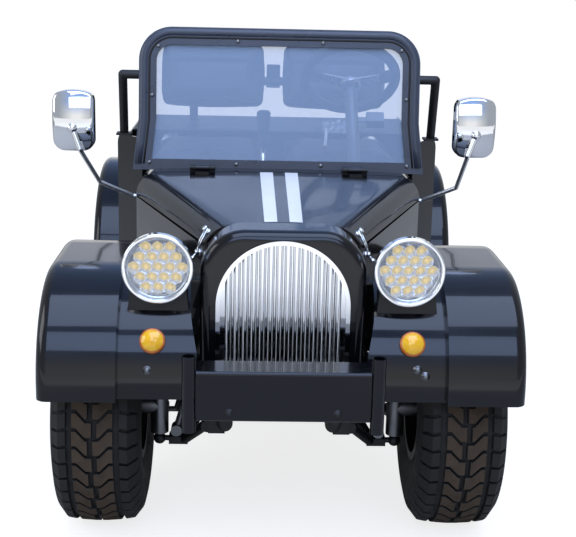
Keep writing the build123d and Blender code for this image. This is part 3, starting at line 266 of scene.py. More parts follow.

# %% [markdown]
# ## Paints
# The panels are sprayed steel: black lacquer under clear coat. Sprayed coats dry with a faint orange peel,
# and dust settles in broad patches, so the gloss is not even. A coat layer over a near-black base gives the
# two reflections that lacquer has. The tubes wear powder coat, which is baked on and stays satin with a
# fine pebble. The windscreen frame is black as well, but its coat is tinted blue-grey: a painted reflection
# of the sky on it.

# %% Gloss lacquer and satin powder coat
ORANGE_PEEL_MM, DUST_PATCH_MM = 9, 160
PEBBLE_MM, WEAR_PATCH_MM = 2.5, 60
gloss_black = mottled(
    "gloss_black_lacquer", ("#050609", "#0d0e12"), DUST_PATCH_MM, (0.1, 0.24),
    (ORANGE_PEEL_MM, 0.05, 0.25, 1.0), Coat_Weight=0.5, Coat_Roughness=0.025, IOR=1.5, Specular_IOR_Level=0.2,
)


def powder_coat(name, tints, rough):
    """A satin coat with a fine pebble, paler where it is worn."""
    return mottled(name, tints, WEAR_PATCH_MM, rough, (PEBBLE_MM, 0.06, 0.4, 1.0), IOR=1.5)


satin_black = powder_coat("satin_black_powder_coat", ("#0d0d0e", "#191919"), (0.42, 0.6))
# The windscreen frame is black; these blue-grey tints are a painted reflection of the sky on its paint.
frame_paint_and_sky_sheen = powder_coat("frame_enamel_with_painted_sky_sheen", ("#323946", "#3d4452"), (0.26, 0.36))
wheel_paint = powder_coat("black_wheel_enamel", ("#101011", "#1d1c1b"), (0.3, 0.48))
print("paints", gloss_black.name, "to", wheel_paint.name)

# %% [markdown]
# ## Plated and bare metals
# Chrome plate is a mirror with faint waves from the pressing under it. Zinc plate is passivated to a thin
# yellow film that pools and fades. Aluminium spokes are brushed, and castings are grained like sand. All
# are a metal with two tints, a roughness and a grain, so one function takes their values. The mirrors' rods
# are only satin, so their chrome changes its polish at the height where a rod meets its case.

# %% Chrome, zinc, aluminium and casting


def plated(name, tints, patch_mm, rough, grain_mm, depth_mm, strength):
    """A metal with two tints in patches, a roughness range and a fine relief."""
    return mottled(name, tints, patch_mm, rough, (grain_mm, depth_mm, strength, 2.0), Metallic=1.0)


chrome = plated("chrome_plate", ("#fafafa", "#eef0f2"), 50, (0.04, 0.1), 25, 0.05, 0.2)
zinc = plated("yellow_zinc_plate", ("#b9a06a", "#8d8573"), 18, (0.28, 0.45), 3, 0.04, 0.4)
steel = plated("drawn_steel", ("#8b8c8e", "#6d6e70"), 40, (0.28, 0.45), 4, 0.03, 0.3)
alloy = plated("brushed_aluminium", ("#d2d3d5", "#b5b7ba"), 12, (0.22, 0.38), 2, 0.03, 0.4)
casting = plated("sand_cast_alloy", ("#77787a", "#5c5d5f"), 14, (0.45, 0.62), 2.5, 0.15, 0.6)
print("metals", chrome.name, "to", casting.name)

# %% Chrome of the mirror cases over satin rods
ROD_TOP, POLISH_FADE = 0.740, 0.005
ROD_ROUGH, CASE_ROUGH = 0.45, 0.05
mirror_chrome = plated("chrome_case_satin_rod", ("#f0f1f2", "#e4e6e8"), 50, (0.03, 0.09), 25, 0.05, 0.2)
tree = mirror_chrome.node_tree
height = add(tree, "ShaderNodeSeparateXYZ", {"Vector": place_on(tree)}).outputs["Z"]
polish = ramp(tree, height, ROD_TOP - POLISH_FADE, ROD_TOP + POLISH_FADE, ROD_ROUGH, CASE_ROUGH)
tree.links.new(polish, tree.nodes["Principled BSDF"].inputs["Roughness"])
print(mirror_chrome.name)

# %% [markdown]
# ## Glass, lamps and plastics
# The pane is thin safety glass with a cool tint. A thin sheet bends light so little that a part
# see-through, glossy shader is truer than refraction. Lamp lenses are clear or dyed acrylic; grips and trim
# are moulded plastic.

# %% Pane, lenses, mirror and moulded plastic
DYE_PATCH_MM = 9
pane, _, _ = finish(
    "tinted_safety_glass",
    Base_Color=linear("#9ab4d6"), Roughness=0.03, IOR=1.52, Alpha=0.4, Specular_IOR_Level=0.9,
)
clear_lens, _, _ = finish("clear_acrylic", Base_Color=linear("#f2f5f7"), Roughness=0.02, IOR=1.49, Alpha=0.16)
silvered, _, _ = finish("silvered_mirror", Base_Color=linear("#e9ecee"), Metallic=1.0, Roughness=0.015)


def dyed_acrylic(name, tints):
    """A dyed lens, which light enters and leaves."""
    glow = {"Coat_Weight": 0.5, "Subsurface_Weight": 0.15}
    return mottled(name, tints, DYE_PATCH_MM, Roughness=0.12, IOR=1.49, **glow)


ruby = dyed_acrylic("red_acrylic", ("#b0140f", "#7d0a08"))
moulded = powder_coat("moulded_black_plastic", ("#121213", "#1c1c1d"), (0.5, 0.66))
print("finishes so far", len(bpy.data.materials))

# %% [markdown]
# ## Dress the CAD pieces
# Most pieces already have their true form, so each only needs the finish that its real one has. A table
# from finish to pieces keeps that in one place; the pieces that are rebuilt further down are left out of
# it.

# %% Finish of each carried-over piece
DRESS = {
    gloss_black: (
        "front_bumper nose_shell bonnet_sides cowl door_jambs front_wings front_aprons "
        "running_boards rear_wings quarter_panels hood"
    ),
    frame_paint_and_sky_sheen: "windscreen_frame",
    satin_black: (
        "frame floor_pan rear_deck lower_arms windscreen_stays seat_box tunnel seat_hoop "
        "hood_hinges axle_carriers rear_bumper lamp_stands"
    ),
    chrome: "grille grille_screen headlamps",
    mirror_chrome: "side_mirrors",
    pane: "windscreen_glass",
    clear_lens: "headlamp_lenses",
    silvered: "mirror_glasses",
    wheel_paint: "rim_front_left rim_front_right rims_rear",
    steel: "steering_column pedals shocks knuckle_left knuckle_right tie_rod rear_axle silencer upper_arms",
    casting: "engine",
}
for material, names in DRESS.items():
    for name in names.split():
        nodes[name].data.materials.clear()
        nodes[name].data.materials.append(material)
print("dressed", sum(len(names.split()) for names in DRESS.values()))

# %% [markdown]
# ## Turned and swept forms
# Knobs, bolts and lamp domes are turned on a lathe, and rods and piping are bars that follow a line.
# Blender's own primitives give neither, and curves with a bevel can't be joined to them in one piece, so
# two helpers build both as rings of points: one round an axis, the other along a line with its frame
# carried from point to point.

# %% Rings and pieces


def join_rings(mesh, rings, slot=0, smooth=True):
    """Faces between each ring of points and the next."""
    for a, b in zip(rings, rings[1:]):
        for k in range(len(a)):
            n = (k + 1) % len(a)
            face = mesh.faces.new((a[k], a[n], b[n], b[k]))
            face.material_index, face.smooth = slot, smooth


def close_ends(mesh, rings, slot=0):
    """A flat face on the first ring and on the last."""
    for cap in (rings[0], rings[-1]):
        mesh.faces.new(cap).material_index = slot


def circle(count, turn=0.0):
    """The cosine and sine of each of count even steps round a circle."""
    steps = [turn + math.tau * k / count for k in range(count)]
    return [(math.cos(t), math.sin(t)) for t in steps]


def new_piece(name, mesh, materials, body, place=Matrix()):
    """Turns a bmesh into an object that stands at place and rides on a body."""
    data = bpy.data.meshes.new(name)
    bmesh.ops.recalc_face_normals(mesh, faces=mesh.faces)
    mesh.to_mesh(data)
    mesh.free()
    for material in materials:
        data.materials.append(material)
    piece = bpy.data.objects.new(name, data)
    piece.matrix_world = place
    bpy.context.scene.collection.objects.link(piece)
    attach(piece, body)
    print(name, len(data.polygons), "faces")
    return piece


# %% Lathe and bar helpers


def turned(mesh, place, profile, sides=20, slot=0):
    """A lathe form: rings of (radius, height) about the Z axis of place, closed at both ends."""
    rings = []
    for radius, height in profile:
        spots = [Vector((radius * c, radius * s, height)) for c, s in circle(sides)]
        rings.append([mesh.verts.new(place @ spot) for spot in spots])
    join_rings(mesh, rings, slot)
    close_ends(mesh, rings, slot)


def swept(mesh, line, radius, closed=False, sides=10, slot=0):
    """A round bar along a line of points."""
    count = len(line)
    rings, side = [], None
    for k, point in enumerate(line):
        before = line[k - 1] if closed or k else point
        after = line[(k + 1) % count] if closed or k < count - 1 else point
        run = (after - before).normalized()
        side = side or run.orthogonal()
        side = (side - run * side.dot(run)).normalized()
        across = run.cross(side)
        rings.append([mesh.verts.new(point + (side * c + across * s) * radius) for c, s in circle(sides)])
    join_rings(mesh, rings + rings[:1] if closed else rings, slot)
    if not closed:
        close_ends(mesh, rings, slot)


def facing(point, way):
    """A frame at a point whose Z axis looks along way."""
    return Matrix.Translation(point) @ Vector(way).to_track_quat("Z", "Y").to_matrix().to_4x4()


# %% [markdown]
# ## Tyres
# A kart tyre of this kind has rows of chevron blocks up the middle, a long groove each side of them and
# shoulder blocks that wrap round to the sidewall. Carving grooves out of a torus is slow and leaves poor
# meshes. Instead the carcass is turned without its tread, and each rubber block is laid on it as a small
# strip that follows the crown.

# %% Tyre rubber
rubber = mottled(
    "tyre_rubber", ("#161513", "#24211e"), 30, (0.55, 0.75), (2.0, 0.1, 0.5, 3.0),
    IOR=1.52, Specular_IOR_Level=0.35,
)
dusty_rubber = mottled(
    "dusty_tread_rubber", ("#3a3128", "#594b3d"), 22, None, (2.5, 0.2, 0.6, 3.0), 5.0,
    IOR=1.5, Roughness=0.85, Specular_IOR_Level=0.2,
)
print("rubbers", rubber.name, dusty_rubber.name)

# %% Line of a tyre's crown, in millimetres
BEAD_R, RIM_LIP, SHOULDER_R = 101.2, 14, 30
TREAD_INSET, EDGE_INSET, BEAD_INSET = 24, 6, 14
CROWN_DROP = 5
SHOULDER_IN, SHOULDER_DOWN = 12, 14
CROWN_STEPS, SHOULDER_STEPS, WALL_STEPS = 16, 8, 12


def arc_points(a, b, c, count):
    """Points on the circle through a, b and c, from a to c."""
    ax, ay, bx, by, cx, cy = *a, *b, *c
    d = 2 * (ax * (by - cy) + bx * (cy - ay) + cx * (ay - by))
    sa, sb, sc = ax * ax + ay * ay, bx * bx + by * by, cx * cx + cy * cy
    ux = (sa * (by - cy) + sb * (cy - ay) + sc * (ay - by)) / d
    uy = (sa * (cx - bx) + sb * (ax - cx) + sc * (bx - ax)) / d
    first, mid, last = (math.atan2(p[1] - uy, p[0] - ux) for p in (a, b, c))
    span = (last - first + math.pi) % math.tau - math.pi
    half = (mid - first + math.pi) % math.tau - math.pi
    if span * half < 0:
        span -= math.copysign(math.tau, span)
    r = math.hypot(ax - ux, ay - uy)
    steps = [first + span * k / count for k in range(count + 1)]
    return [(ux + r * math.cos(t), uy + r * math.sin(t)) for t in steps]


class Crown:
    """The tyre's outer line from the middle of the tread round to the bead, by distance along it."""

    def __init__(self, radius, width):
        half = width / 2
        tread, edge = half - TREAD_INSET, (half - EDGE_INSET, radius - SHOULDER_R)
        side = radius - CROWN_DROP
        line = arc_points((-tread, side), (0, radius), (tread, side), CROWN_STEPS)[CROWN_STEPS // 2 :]
        bend = (half - SHOULDER_IN, radius - SHOULDER_DOWN)
        line += arc_points((tread, side), bend, edge, SHOULDER_STEPS)[1:]
        bead = half - BEAD_INSET
        line += arc_points(edge, (half, (BEAD_R + radius) / 2), (bead, BEAD_R + RIM_LIP), WALL_STEPS)[1:]
        self.line = line + [(bead, BEAD_R)]
        self.along = [0.0]
        for p, q in zip(self.line, self.line[1:]):
            self.along.append(self.along[-1] + math.dist(p, q))
        self.edge = self.along[CROWN_STEPS // 2 + SHOULDER_STEPS]

    def at(self, u, deep):
        """The point u along the line, deep under it; a negative u is the other side."""
        far = abs(u)
        k = max(i for i, a in enumerate(self.along[:-1]) if a <= far)
        (x0, r0), (x1, r1) = self.line[k], self.line[k + 1]
        step = self.along[k + 1] - self.along[k]
        t = (far - self.along[k]) / step
        nx, nr = (r0 - r1) / step, (x1 - x0) / step
        x, r = x0 + (x1 - x0) * t - nx * deep, r0 + (r1 - r0) * t - nr * deep
        return math.copysign(x, u) if u else 0.0, r


# %% Tread blocks on a turned carcass
TREAD_DEPTH, BLOCK_ROOT, CHAMFER = 8.0, 2, 1.0
TREAD_END, TREAD_FADE = 12, 14
CARCASS_STEPS = 120
PATTERN_WIDTH = 177
GAP, DROP, SLOT, STAGGER = 6.0, 19.0, 9.0, 4.0
WAVE, WAVE_RUN = 4.0, 14
WRAP_BEND, WRAP_BEFORE, WRAP_PAST = 16, 4, 10


def within(share):
    """A share kept between nothing and all."""
    return min(1, max(0, share))


def lay_block(mesh, crown, radius, columns, low, high, top_slot):
    """One rubber block: a strip of columns between two edges, with chamfered top and closed bottom."""
    rings = []
    for deep, inset in ((0.0, CHAMFER), (CHAMFER, 0.0), (TREAD_DEPTH + BLOCK_ROOT, 0.0)):
        grid = []
        for i, u in enumerate(columns):
            side = inset if i == 0 else -inset if i == len(columns) - 1 else 0.0
            x, r = crown.at(u + side, deep)
            turns = [s / radius for s in (low(u) + inset, high(u) - inset)]
            spots = [(x * MM, -r * math.cos(a) * MM, r * math.sin(a) * MM) for a in turns]
            grid.append([mesh.verts.new(spot) for spot in spots])
        rings.append(grid)
    for ring, slot in ((rings[0], top_slot), (rings[-1], 0)):
        for p, q in zip(ring, ring[1:]):
            mesh.faces.new((p[0], q[0], q[1], p[1])).material_index = slot
    loops = [[g[0] for g in ring] + [g[1] for g in reversed(ring)] for ring in rings]
    join_rings(mesh, loops, smooth=False)


def treaded_tyre(node, body, centre, radius, width, rows):
    """Carcass and tread of one tyre, standing for its CAD solid."""
    crown = Crown(radius, width)
    mesh = bmesh.new()
    line = [
        crown.at(u, TREAD_DEPTH * within((crown.edge + TREAD_END - u) / TREAD_FADE)) for u in crown.along[:-1]
    ]
    profile = [(-x, r) for x, r in reversed(line[1:])] + line
    profile = [(-crown.line[-1][0], BEAD_R)] + profile + [crown.line[-1]]
    turns = []
    for c, s in circle(CARCASS_STEPS):
        turns.append([mesh.verts.new((x * MM, r * c * MM, r * s * MM)) for x, r in profile])
    join_rings(mesh, turns + turns[:1])
    pitch = math.tau * radius / rows
    wide = width / PATTERN_WIDTH
    flat, slope, rib, shoulder = 13 * wide, 31 * wide, 40 * wide, 51 * wide

    def chevron(u):
        return -DROP * within((slope - abs(u)) / (slope - flat))

    def wave(u):
        return -WAVE * within((abs(u) - shoulder) / WAVE_RUN)

    wrap = [shoulder, shoulder + WRAP_BEND, crown.edge - WRAP_BEFORE, crown.edge + WRAP_PAST]
    for k in range(rows):
        start = k * pitch
        shift = STAGGER if k % 2 else -STAGGER
        for columns, edge, top in (
            ([-rib, -slope, -flat, shift - SLOT / 2], chevron, 1),
            ([shift + SLOT / 2, flat, slope, rib], chevron, 1),
            ([-u for u in reversed(wrap)], wave, 0),
            (wrap, wave, 0),
        ):
            lay_block(
                mesh, crown, radius, columns,
                lambda u: start + edge(u) + GAP / 2, lambda u: start + edge(u) + pitch - GAP / 2, top,
            )
    place = Matrix.Translation(centre)
    tyre = new_piece(node + "_tread", mesh, (rubber, dusty_rubber), body, place)
    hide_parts(node)


# %% Four tyres
FRONT_R, REAR_R = 0.241, 0.229
WHEELS = (
    ("front_left", "wheel_fl", "rim_front_left", -0.361, AXLE_F, FRONT_R, 177, 42),
    ("front_right", "wheel_fr", "rim_front_right", 0.361, AXLE_F, FRONT_R, 177, 42),
    ("rear_left", "rear_wheels", "rims_rear", -0.385, AXLE_R, REAR_R, 220, 38),
    ("rear_right", "rear_wheels", "rims_rear", 0.385, AXLE_R, REAR_R, 220, 38),
)
for name, body, _, x, y, radius, width, rows in WHEELS:
    treaded_tyre(f"tyre_{name}", body, (x, y, radius), round(radius / MM), width, rows)

# %% [markdown]
# ## Headlamps
# Each lamp is a sealed light unit: a silvered plate of small cups with one yellow light-emitting die in
# each, behind a clear lens. The cups touch like honeycomb, one in the middle with two rings round it. One
# cup could be copied with an array, but joining all of them in one mesh lets neighbours share their rims
# and keeps a single piece.

# %% Reflector cups and dies
phosphor = mottled(
    "phosphor_die", ("#f4c63a", "#d99a1c"), 4,
    Roughness=0.35, Emission_Color=linear("#f6dc7c"), Emission_Strength=0.55,
)
silver_plate = plated("vacuum_silvered_plastic", ("#eceef0", "#d9dcdf"), 8, (0.08, 0.2), 6, 0.05, 0.3)

low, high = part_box("headlamp_lenses")
LENS_R = (high[2] - low[2]) / 2
LAMP_X, LAMP_Z, LENS_Y = high[0] - LENS_R, low[2] + LENS_R, low[1]
CELLS_ACROSS = 5.25
CELL_PITCH = LENS_R * 2 / CELLS_ACROSS
CELL_RINGS, CUP_FIT = 2, 0.93
CELL_SIDES, DIE_SIDES, SHELF_SIDES = 12, 10, 48
CUP_DEEP, DIE_R, PLATE_DEEP = 0.010, 0.0036, 0.007
CUP = ((1.0, 0.0), (0.86, 0.0035), (0.66, 0.0068), (0.45, 0.009), (0.34, CUP_DEEP))
DIE = ((1.15, 0.0), (1.1, -0.0022), (0.7, -0.0034))
SHELF = ((0.99, -0.001), (0.95, 0.0), (0.93, 0.004), (0.92, 0.011))
HEX, WELD = math.pi / 6, 0.00005
CELL_R = CELL_PITCH / 2 / math.cos(HEX)


def ring_of(mesh, centre, count, radius, deep):
    """Points round a centre in X and Z, deep behind the lens."""
    return [mesh.verts.new((centre[0] + radius * c, deep, centre[1] + radius * s)) for c, s in circle(count)]


def cup_ring(mesh, centre, share, deep):
    """Points round a cup: a hexagon at its rim, a circle below it."""
    ring = []
    for k in range(CELL_SIDES):
        a = math.tau * k / CELL_SIDES + HEX
        flat = math.cos(HEX) / math.cos((a - HEX) % (2 * HEX) - HEX)
        reach = CELL_R * share * (flat if share == 1.0 else CUP_FIT)
        ring.append(mesh.verts.new((centre[0] + reach * math.cos(a), deep, centre[1] + reach * math.sin(a))))
    return ring


def lay_cell(mesh, centre):
    """One cup with its die."""
    cup = [cup_ring(mesh, centre, share, deep) for share, deep in CUP]
    join_rings(mesh, cup)
    mesh.faces.new(cup[-1])
    die = [ring_of(mesh, centre, DIE_SIDES, DIE_R * share, CUP_DEEP + rise) for share, rise in DIE]
    join_rings(mesh, die, 1)
    mesh.faces.new(die[-1]).material_index = 1


for name, x in (("light_unit_left", -LAMP_X), ("light_unit_right", LAMP_X)):
    mesh = bmesh.new()
    for q in range(-CELL_RINGS, CELL_RINGS + 1):
        for r in range(max(-CELL_RINGS, -q - CELL_RINGS), min(CELL_RINGS, -q + CELL_RINGS) + 1):
            lay_cell(mesh, (CELL_PITCH * (q + r / 2), CELL_PITCH * r * math.sqrt(3) / 2))
    join_rings(mesh, [ring_of(mesh, (0, 0), SHELF_SIDES, LENS_R * share, deep) for share, deep in SHELF])
    bmesh.ops.remove_doubles(mesh, verts=mesh.verts, dist=WELD)
    place = Matrix.Translation((x, LENS_Y + PLATE_DEEP, LAMP_Z))
    new_piece(name, mesh, (silver_plate, phosphor), "chassis", place)

# %% [markdown]
# ## Seats
# The seats are foam in black vinyl, sewn from a face panel and a border, with piping in the seam. Foam
# pushes the cover out, so the face crowns and the sides draw in between the corners; a bevelled box would
# look like wood. Each pad starts as a box a little under size, divided evenly. A short cloth simulation
# with pressure inside swells it as foam does, with the side that rests on the seat box or the hoop held
# flat. Left and right share one swollen mesh.

# %% Embossed vinyl
VINYL_GRAIN_MM = 4
vinyl = mottled(
    "embossed_black_vinyl", ("#1c1d20", "#2a2b2f"), 90, (0.4, 0.56), IOR=1.5, Specular_IOR_Level=0.4
)
tree = vinyl.node_tree
emboss = {"Vector": place_on(tree), "Scale": per_metre(VINYL_GRAIN_MM)}
cells = add(tree, "ShaderNodeTexVoronoi", emboss, feature="DISTANCE_TO_EDGE")
relief(tree, tree.nodes["Principled BSDF"], cells.outputs["Distance"], 0.3, 0.5)
print(vinyl.name)

# %% Pads swollen by pressure
PAD_VOXEL, PAD_SHRINK, PAD_CAP, PAD_EDGE = 0.006, 0.009, 0.015, 0.022
SWELL_FRAMES, SWELL_PRESSURE, SWELL_QUALITY = 20, 4.0, 4
HELD_WITHIN = 0.004


def shaped(data, *modifiers):
    """A copy of a mesh with modifiers applied, each given as its kind and its settings."""
    holder = bpy.data.objects.new("pad_form", data)
    bpy.context.scene.collection.objects.link(holder)
    for kind, settings in modifiers:
        modifier = holder.modifiers.new(kind.lower(), kind)
        for name, value in settings.items():
            setattr(modifier, name, value)
    graph = bpy.context.evaluated_depsgraph_get()
    result = bpy.data.meshes.new_from_object(holder.evaluated_get(graph))
    bpy.data.objects.remove(holder)
    return result


def swollen(name, size, rest_axis, rest_at_high):
    """A pad with its lowest corner at the origin, flat where it rests, filled by pressure elsewhere."""
    mesh = bmesh.new()
    bmesh.ops.create_cube(mesh, size=1.0)
    for v in mesh.verts:
        for k in range(3):
            rests = k == rest_axis and (v.co[k] > 0) == rest_at_high
            side = size[k] if v.co[k] > 0 else 0.0
            v.co[k] = side if rests else side + (-PAD_SHRINK if v.co[k] > 0 else PAD_SHRINK)
    edges = list(mesh.edges)
    bmesh.ops.bevel(mesh, geom=edges, offset=PAD_EDGE, segments=4, profile=0.5, affect="EDGES")
    box = bpy.data.meshes.new(name)
    mesh.to_mesh(box)
    mesh.free()
    even = shaped(box, ("REMESH", {"mode": "VOXEL", "voxel_size": PAD_VOXEL}))
    start = [v.co.copy() for v in even.vertices]
    pad = bpy.data.objects.new(name, even)
    bpy.context.scene.collection.objects.link(pad)
    rest = size[rest_axis] if rest_at_high else 0.0
    held = pad.vertex_groups.new(name="held")
    flat = [i for i, co in enumerate(start) if abs(co[rest_axis] - rest) < HELD_WITHIN]
    held.add(flat, 1.0, "REPLACE")
    cloth = pad.modifiers.new("cloth", "CLOTH").settings
    cloth.use_pressure = True
    cloth.uniform_pressure_force = SWELL_PRESSURE
    cloth.vertex_group_mass = "held"
    cloth.effector_weights.gravity = 0.0
    cloth.quality = SWELL_QUALITY
    scene = bpy.context.scene
    for step in range(1, SWELL_FRAMES + 1):
        scene.frame_set(step)
    graph = bpy.context.evaluated_depsgraph_get()
    moved = [v.co.copy() for v in pad.evaluated_get(graph).data.vertices]
    scene.frame_set(1)
    bpy.data.objects.remove(pad)
    for v, before, after in zip(even.vertices, start, moved):
        move = after - before
        far = min(move.length, PAD_CAP)
        v.co = before + move.normalized() * far if move.length > 0 else before
    most = max((after - before).length for before, after in zip(start, moved))
    print(name, "swelled by", round(most / MM, 1), "mm before the cap")
    return even


# %% Seam and piping
CUSHION = (0.328, 0.380, 0.110)
BACK = (0.328, 0.090, 0.208)
SEAM_Z, SEAM_WIDE, SEAM_DEEP = BACK[2] * 0.64, 0.008, 0.007
PIPE_R, PIPE_OUT, PIPE_TURNS, PIPE_SIDES = 0.0038, 0.35, 144, 8


def sunk_seam(data):
    """Draws the front of a back pad in along a sewn line across it."""
    for v in data.vertices:
        if v.co.y < BACK[1] / 2:
            v.co.y += SEAM_DEEP * math.exp(-(((v.co.z - SEAM_Z) / SEAM_WIDE) ** 2))


def piping(mesh, pad, axis, level):
    """A round welt along the pad's outline at a level of one axis."""
    tree = BVHTree.FromPolygons([v.co for v in pad.vertices], [p.vertices for p in pad.polygons])
    low = Vector(min(v.co[k] for v in pad.vertices) for k in range(3))
    high = Vector(max(v.co[k] for v in pad.vertices) for k in range(3))
    centre = (low + high) / 2
    centre[axis] = level
    a, b = [k for k in range(3) if k != axis]
    line = []
    for c, s in circle(PIPE_TURNS):
        way = Vector((0, 0, 0))
        way[a] = c * (high[a] - low[a])
        way[b] = s * (high[b] - low[b])
        way.normalize()
        hit, _, _, _ = tree.ray_cast(centre, way)
        line.append(hit + way * PIPE_R * PIPE_OUT)
    swept(mesh, line, PIPE_R, closed=True, sides=PIPE_SIDES)


# %% Covers of both seats
BACK_RAKE = math.radians(-12)
CUSHION_FOOT = Vector(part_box("seat_cushion_right")[0])
BACK_FOOT = Vector((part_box("seat_back_right")[0][0], AXLE_R - 0.040, 0.722))
CUSHION_PIPES = ((2, CUSHION[2] - 0.020), (2, 0.016))
BACK_PIPES = ((1, 0.018), (1, BACK[1] - 0.014))
back_place = Matrix.Translation(BACK_FOOT) @ Matrix.Rotation(BACK_RAKE, 4, "X")
cushion = swollen("seat_cushion", CUSHION, 2, False)
back = swollen("seat_back", BACK, 1, True)
sunk_seam(back)
for pad, pipes, node, place in (
    (cushion, CUSHION_PIPES, "seat_cushion", Matrix.Translation(CUSHION_FOOT)),
    (back, BACK_PIPES, "seat_back", back_place),
):
    for side, shift in (("right", 0.0), ("left", -2 * (CUSHION_FOOT[0] + CUSHION[0] / 2))):
        stands = Matrix.Translation((shift, 0, 0)) @ place
        mesh = bmesh.new()
        mesh.from_mesh(shaped(pad, ("SUBSURF", {"levels": 1})))
        for face in mesh.faces:
            face.smooth = True
        piece = new_piece(f"{node}_{side}_cover", mesh, (vinyl,), "chassis", stands)
        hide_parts(f"{node}_{side}")
        welt = bmesh.new()
        for axis, level in pipes:
            piping(welt, pad, axis, level)
        new_piece(f"{node}_{side}_piping", welt, (moulded,), "chassis", stands)

# %% [markdown]
# ## Steering wheel
# The rim is soft black plastic moulded over a hoop of rod. Flat spokes cut from aluminium sheet rise from
# the hub to black sleeves at the rim, so the wheel is dished, and a nut holds the hub on its shaft. A torus
# and three boxes would give the outline but not the eased sheet edges, so the spokes are cut as tapering
# plates and the hub is turned.

# %% Rim, spokes, hub and shaft
COLUMN_AT = Matrix.Translation((0.187, 0.082, 0.866)) @ Matrix.Rotation(math.radians(-48), 4, "X")
RIM_R, RIM_TUBE, RIM_TURNS = 0.117, 0.013, 96
SPOKES = (-8, 188, 90)
EASE, DISH, SPOKE_RUN = 0.0008, 0.016, 0.1
DISH_TURN = Matrix.Rotation(-math.atan2(DISH, SPOKE_RUN), 4, "Y")
BLADE = ((0.016, -0.017), (0.05, -0.016), (0.098, -0.012), (0.098, 0.012), (0.05, 0.016), (0.016, 0.017))
SLEEVE = ((0.076, -0.014), (0.084, -0.018), (0.114, -0.016), (0.114, 0.016), (0.084, 0.018), (0.076, 0.014))
HUB = ((0.024, -0.030), (0.026, -0.028), (0.026, -0.017), (0.022, -0.013), (0.013, -0.011))
HUB_NUT = ((0.009, -0.011), (0.009, -0.004), (0.007, -0.002))
SHAFT = ((0.011, -0.130), (0.011, -0.072), (0.015, -0.070), (0.015, -0.052), (0.011, -0.050), (0.011, -0.029))


def cut_plate(mesh, place, outline, low, high, slot=0):
    """A sheet cut to an outline in X and Y between two heights, with eased edges."""
    middle = sum((Vector(p) for p in outline), Vector((0, 0))) / len(outline)
    rings = []
    for inset, height in ((EASE, low), (0, low + EASE), (0, high - EASE), (EASE, high)):
        ring = []
        for p in outline:
            spot = Vector(p)
            spot -= (spot - middle).normalized() * inset
            ring.append(mesh.verts.new(place @ Vector((spot.x, spot.y, height))))
        rings.append(ring)
    join_rings(mesh, rings, slot, smooth=False)
    close_ends(mesh, rings, slot)


mesh = bmesh.new()
hoop = [Vector((RIM_R * c, RIM_R * s, 0)) for c, s in circle(RIM_TURNS)]
swept(mesh, hoop, RIM_TUBE, closed=True, sides=18)
for angle in SPOKES:
    turn = Matrix.Rotation(math.radians(angle), 4, "Z") @ Matrix.Translation((0, 0, -DISH)) @ DISH_TURN
    cut_plate(mesh, turn, BLADE, -0.006, -0.002, 1)
    cut_plate(mesh, turn, SLEEVE, -0.010, 0.003, 0)
turned(mesh, Matrix(), HUB, 32, 1)
turned(mesh, Matrix(), HUB_NUT, 6, 2)
turned(mesh, Matrix(), SHAFT, 24, 2)
wheel = new_piece("steering_wheel_moulded", mesh, (moulded, alloy, steel), "steering", COLUMN_AT)
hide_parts("steering_wheel")

# %% [markdown]
# ## Shift lever
# A pleated rubber boot keeps dust out of the gear gate, a chromed stalk stands in it, and a ridged rubber
# grip is pushed over the top. All three are round, so one turned line each is enough, with the pleats and
# ridges in the line.

# %% Boot, stalk and grip
LEVER_FOOT = (-0.034, 0.110, 0.430)
PLEATS, PLEAT_STEP = 4, 0.007
RIDGES, RIDGE_STEP, GRIP_LOW = 13, 0.007, 0.251
GRIP_THIN, GRIP_SWELL = 0.0138, 0.0048
mesh = bmesh.new()
foot = Matrix.Translation(LEVER_FOOT)
boot = [(0.026, 0.0), (0.026, 0.004)]
for k in range(PLEATS):
    wide, up = 0.023 - 0.004 * k, 0.008 + PLEAT_STEP * k
    boot += [(wide - 0.005, up), (wide, up + 0.0035)]
turned(mesh, foot, boot + [(0.006, 0.036)], 28, 0)
turned(mesh, foot, ((0.0062, 0.03), (0.0062, 0.25)), 20, 1)
grip = [(0.008, 0.246), (0.012, 0.248)]
for k in range(RIDGES):
    wide, up = GRIP_THIN + GRIP_SWELL * k / (RIDGES - 1), GRIP_LOW + RIDGE_STEP * k
    grip += [(wide, up), (wide, up + 0.0035), (wide - 0.0015, up + 0.0045)]
turned(mesh, foot, grip + [(0.0175, 0.341), (0.013, 0.345), (0.006, 0.346)], 24, 0)
lever = new_piece("shift_lever_with_boot", mesh, (rubber, chrome), "chassis")
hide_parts("shift_lever")

# %% [markdown]
# ## Hood stripes
# Two white stripes run down the hood. They are vinyl film, cut a little narrower at the front and rolled
# on, so they follow every curve of the panel. A painted mask in the lacquer would need coordinates for each
# edge; a film of its own is what the real one is. Rays dropped on the hood give the film its height, a
# third of a millimetre above it.

# %% White vinyl film
film = mottled(
    "white_vinyl_film", ("#eceef1", "#dfe2e8"), 70, None, (30, 0.08, 0.2, 1.0),
    Roughness=0.22, IOR=1.46, Coat_Weight=0.2,
)


def surface_of(node):
    """The surface of a CAD node, for rays."""
    data = nodes[node].data
    return BVHTree.FromPolygons([v.co for v in data.vertices], [p.vertices for p in data.polygons])


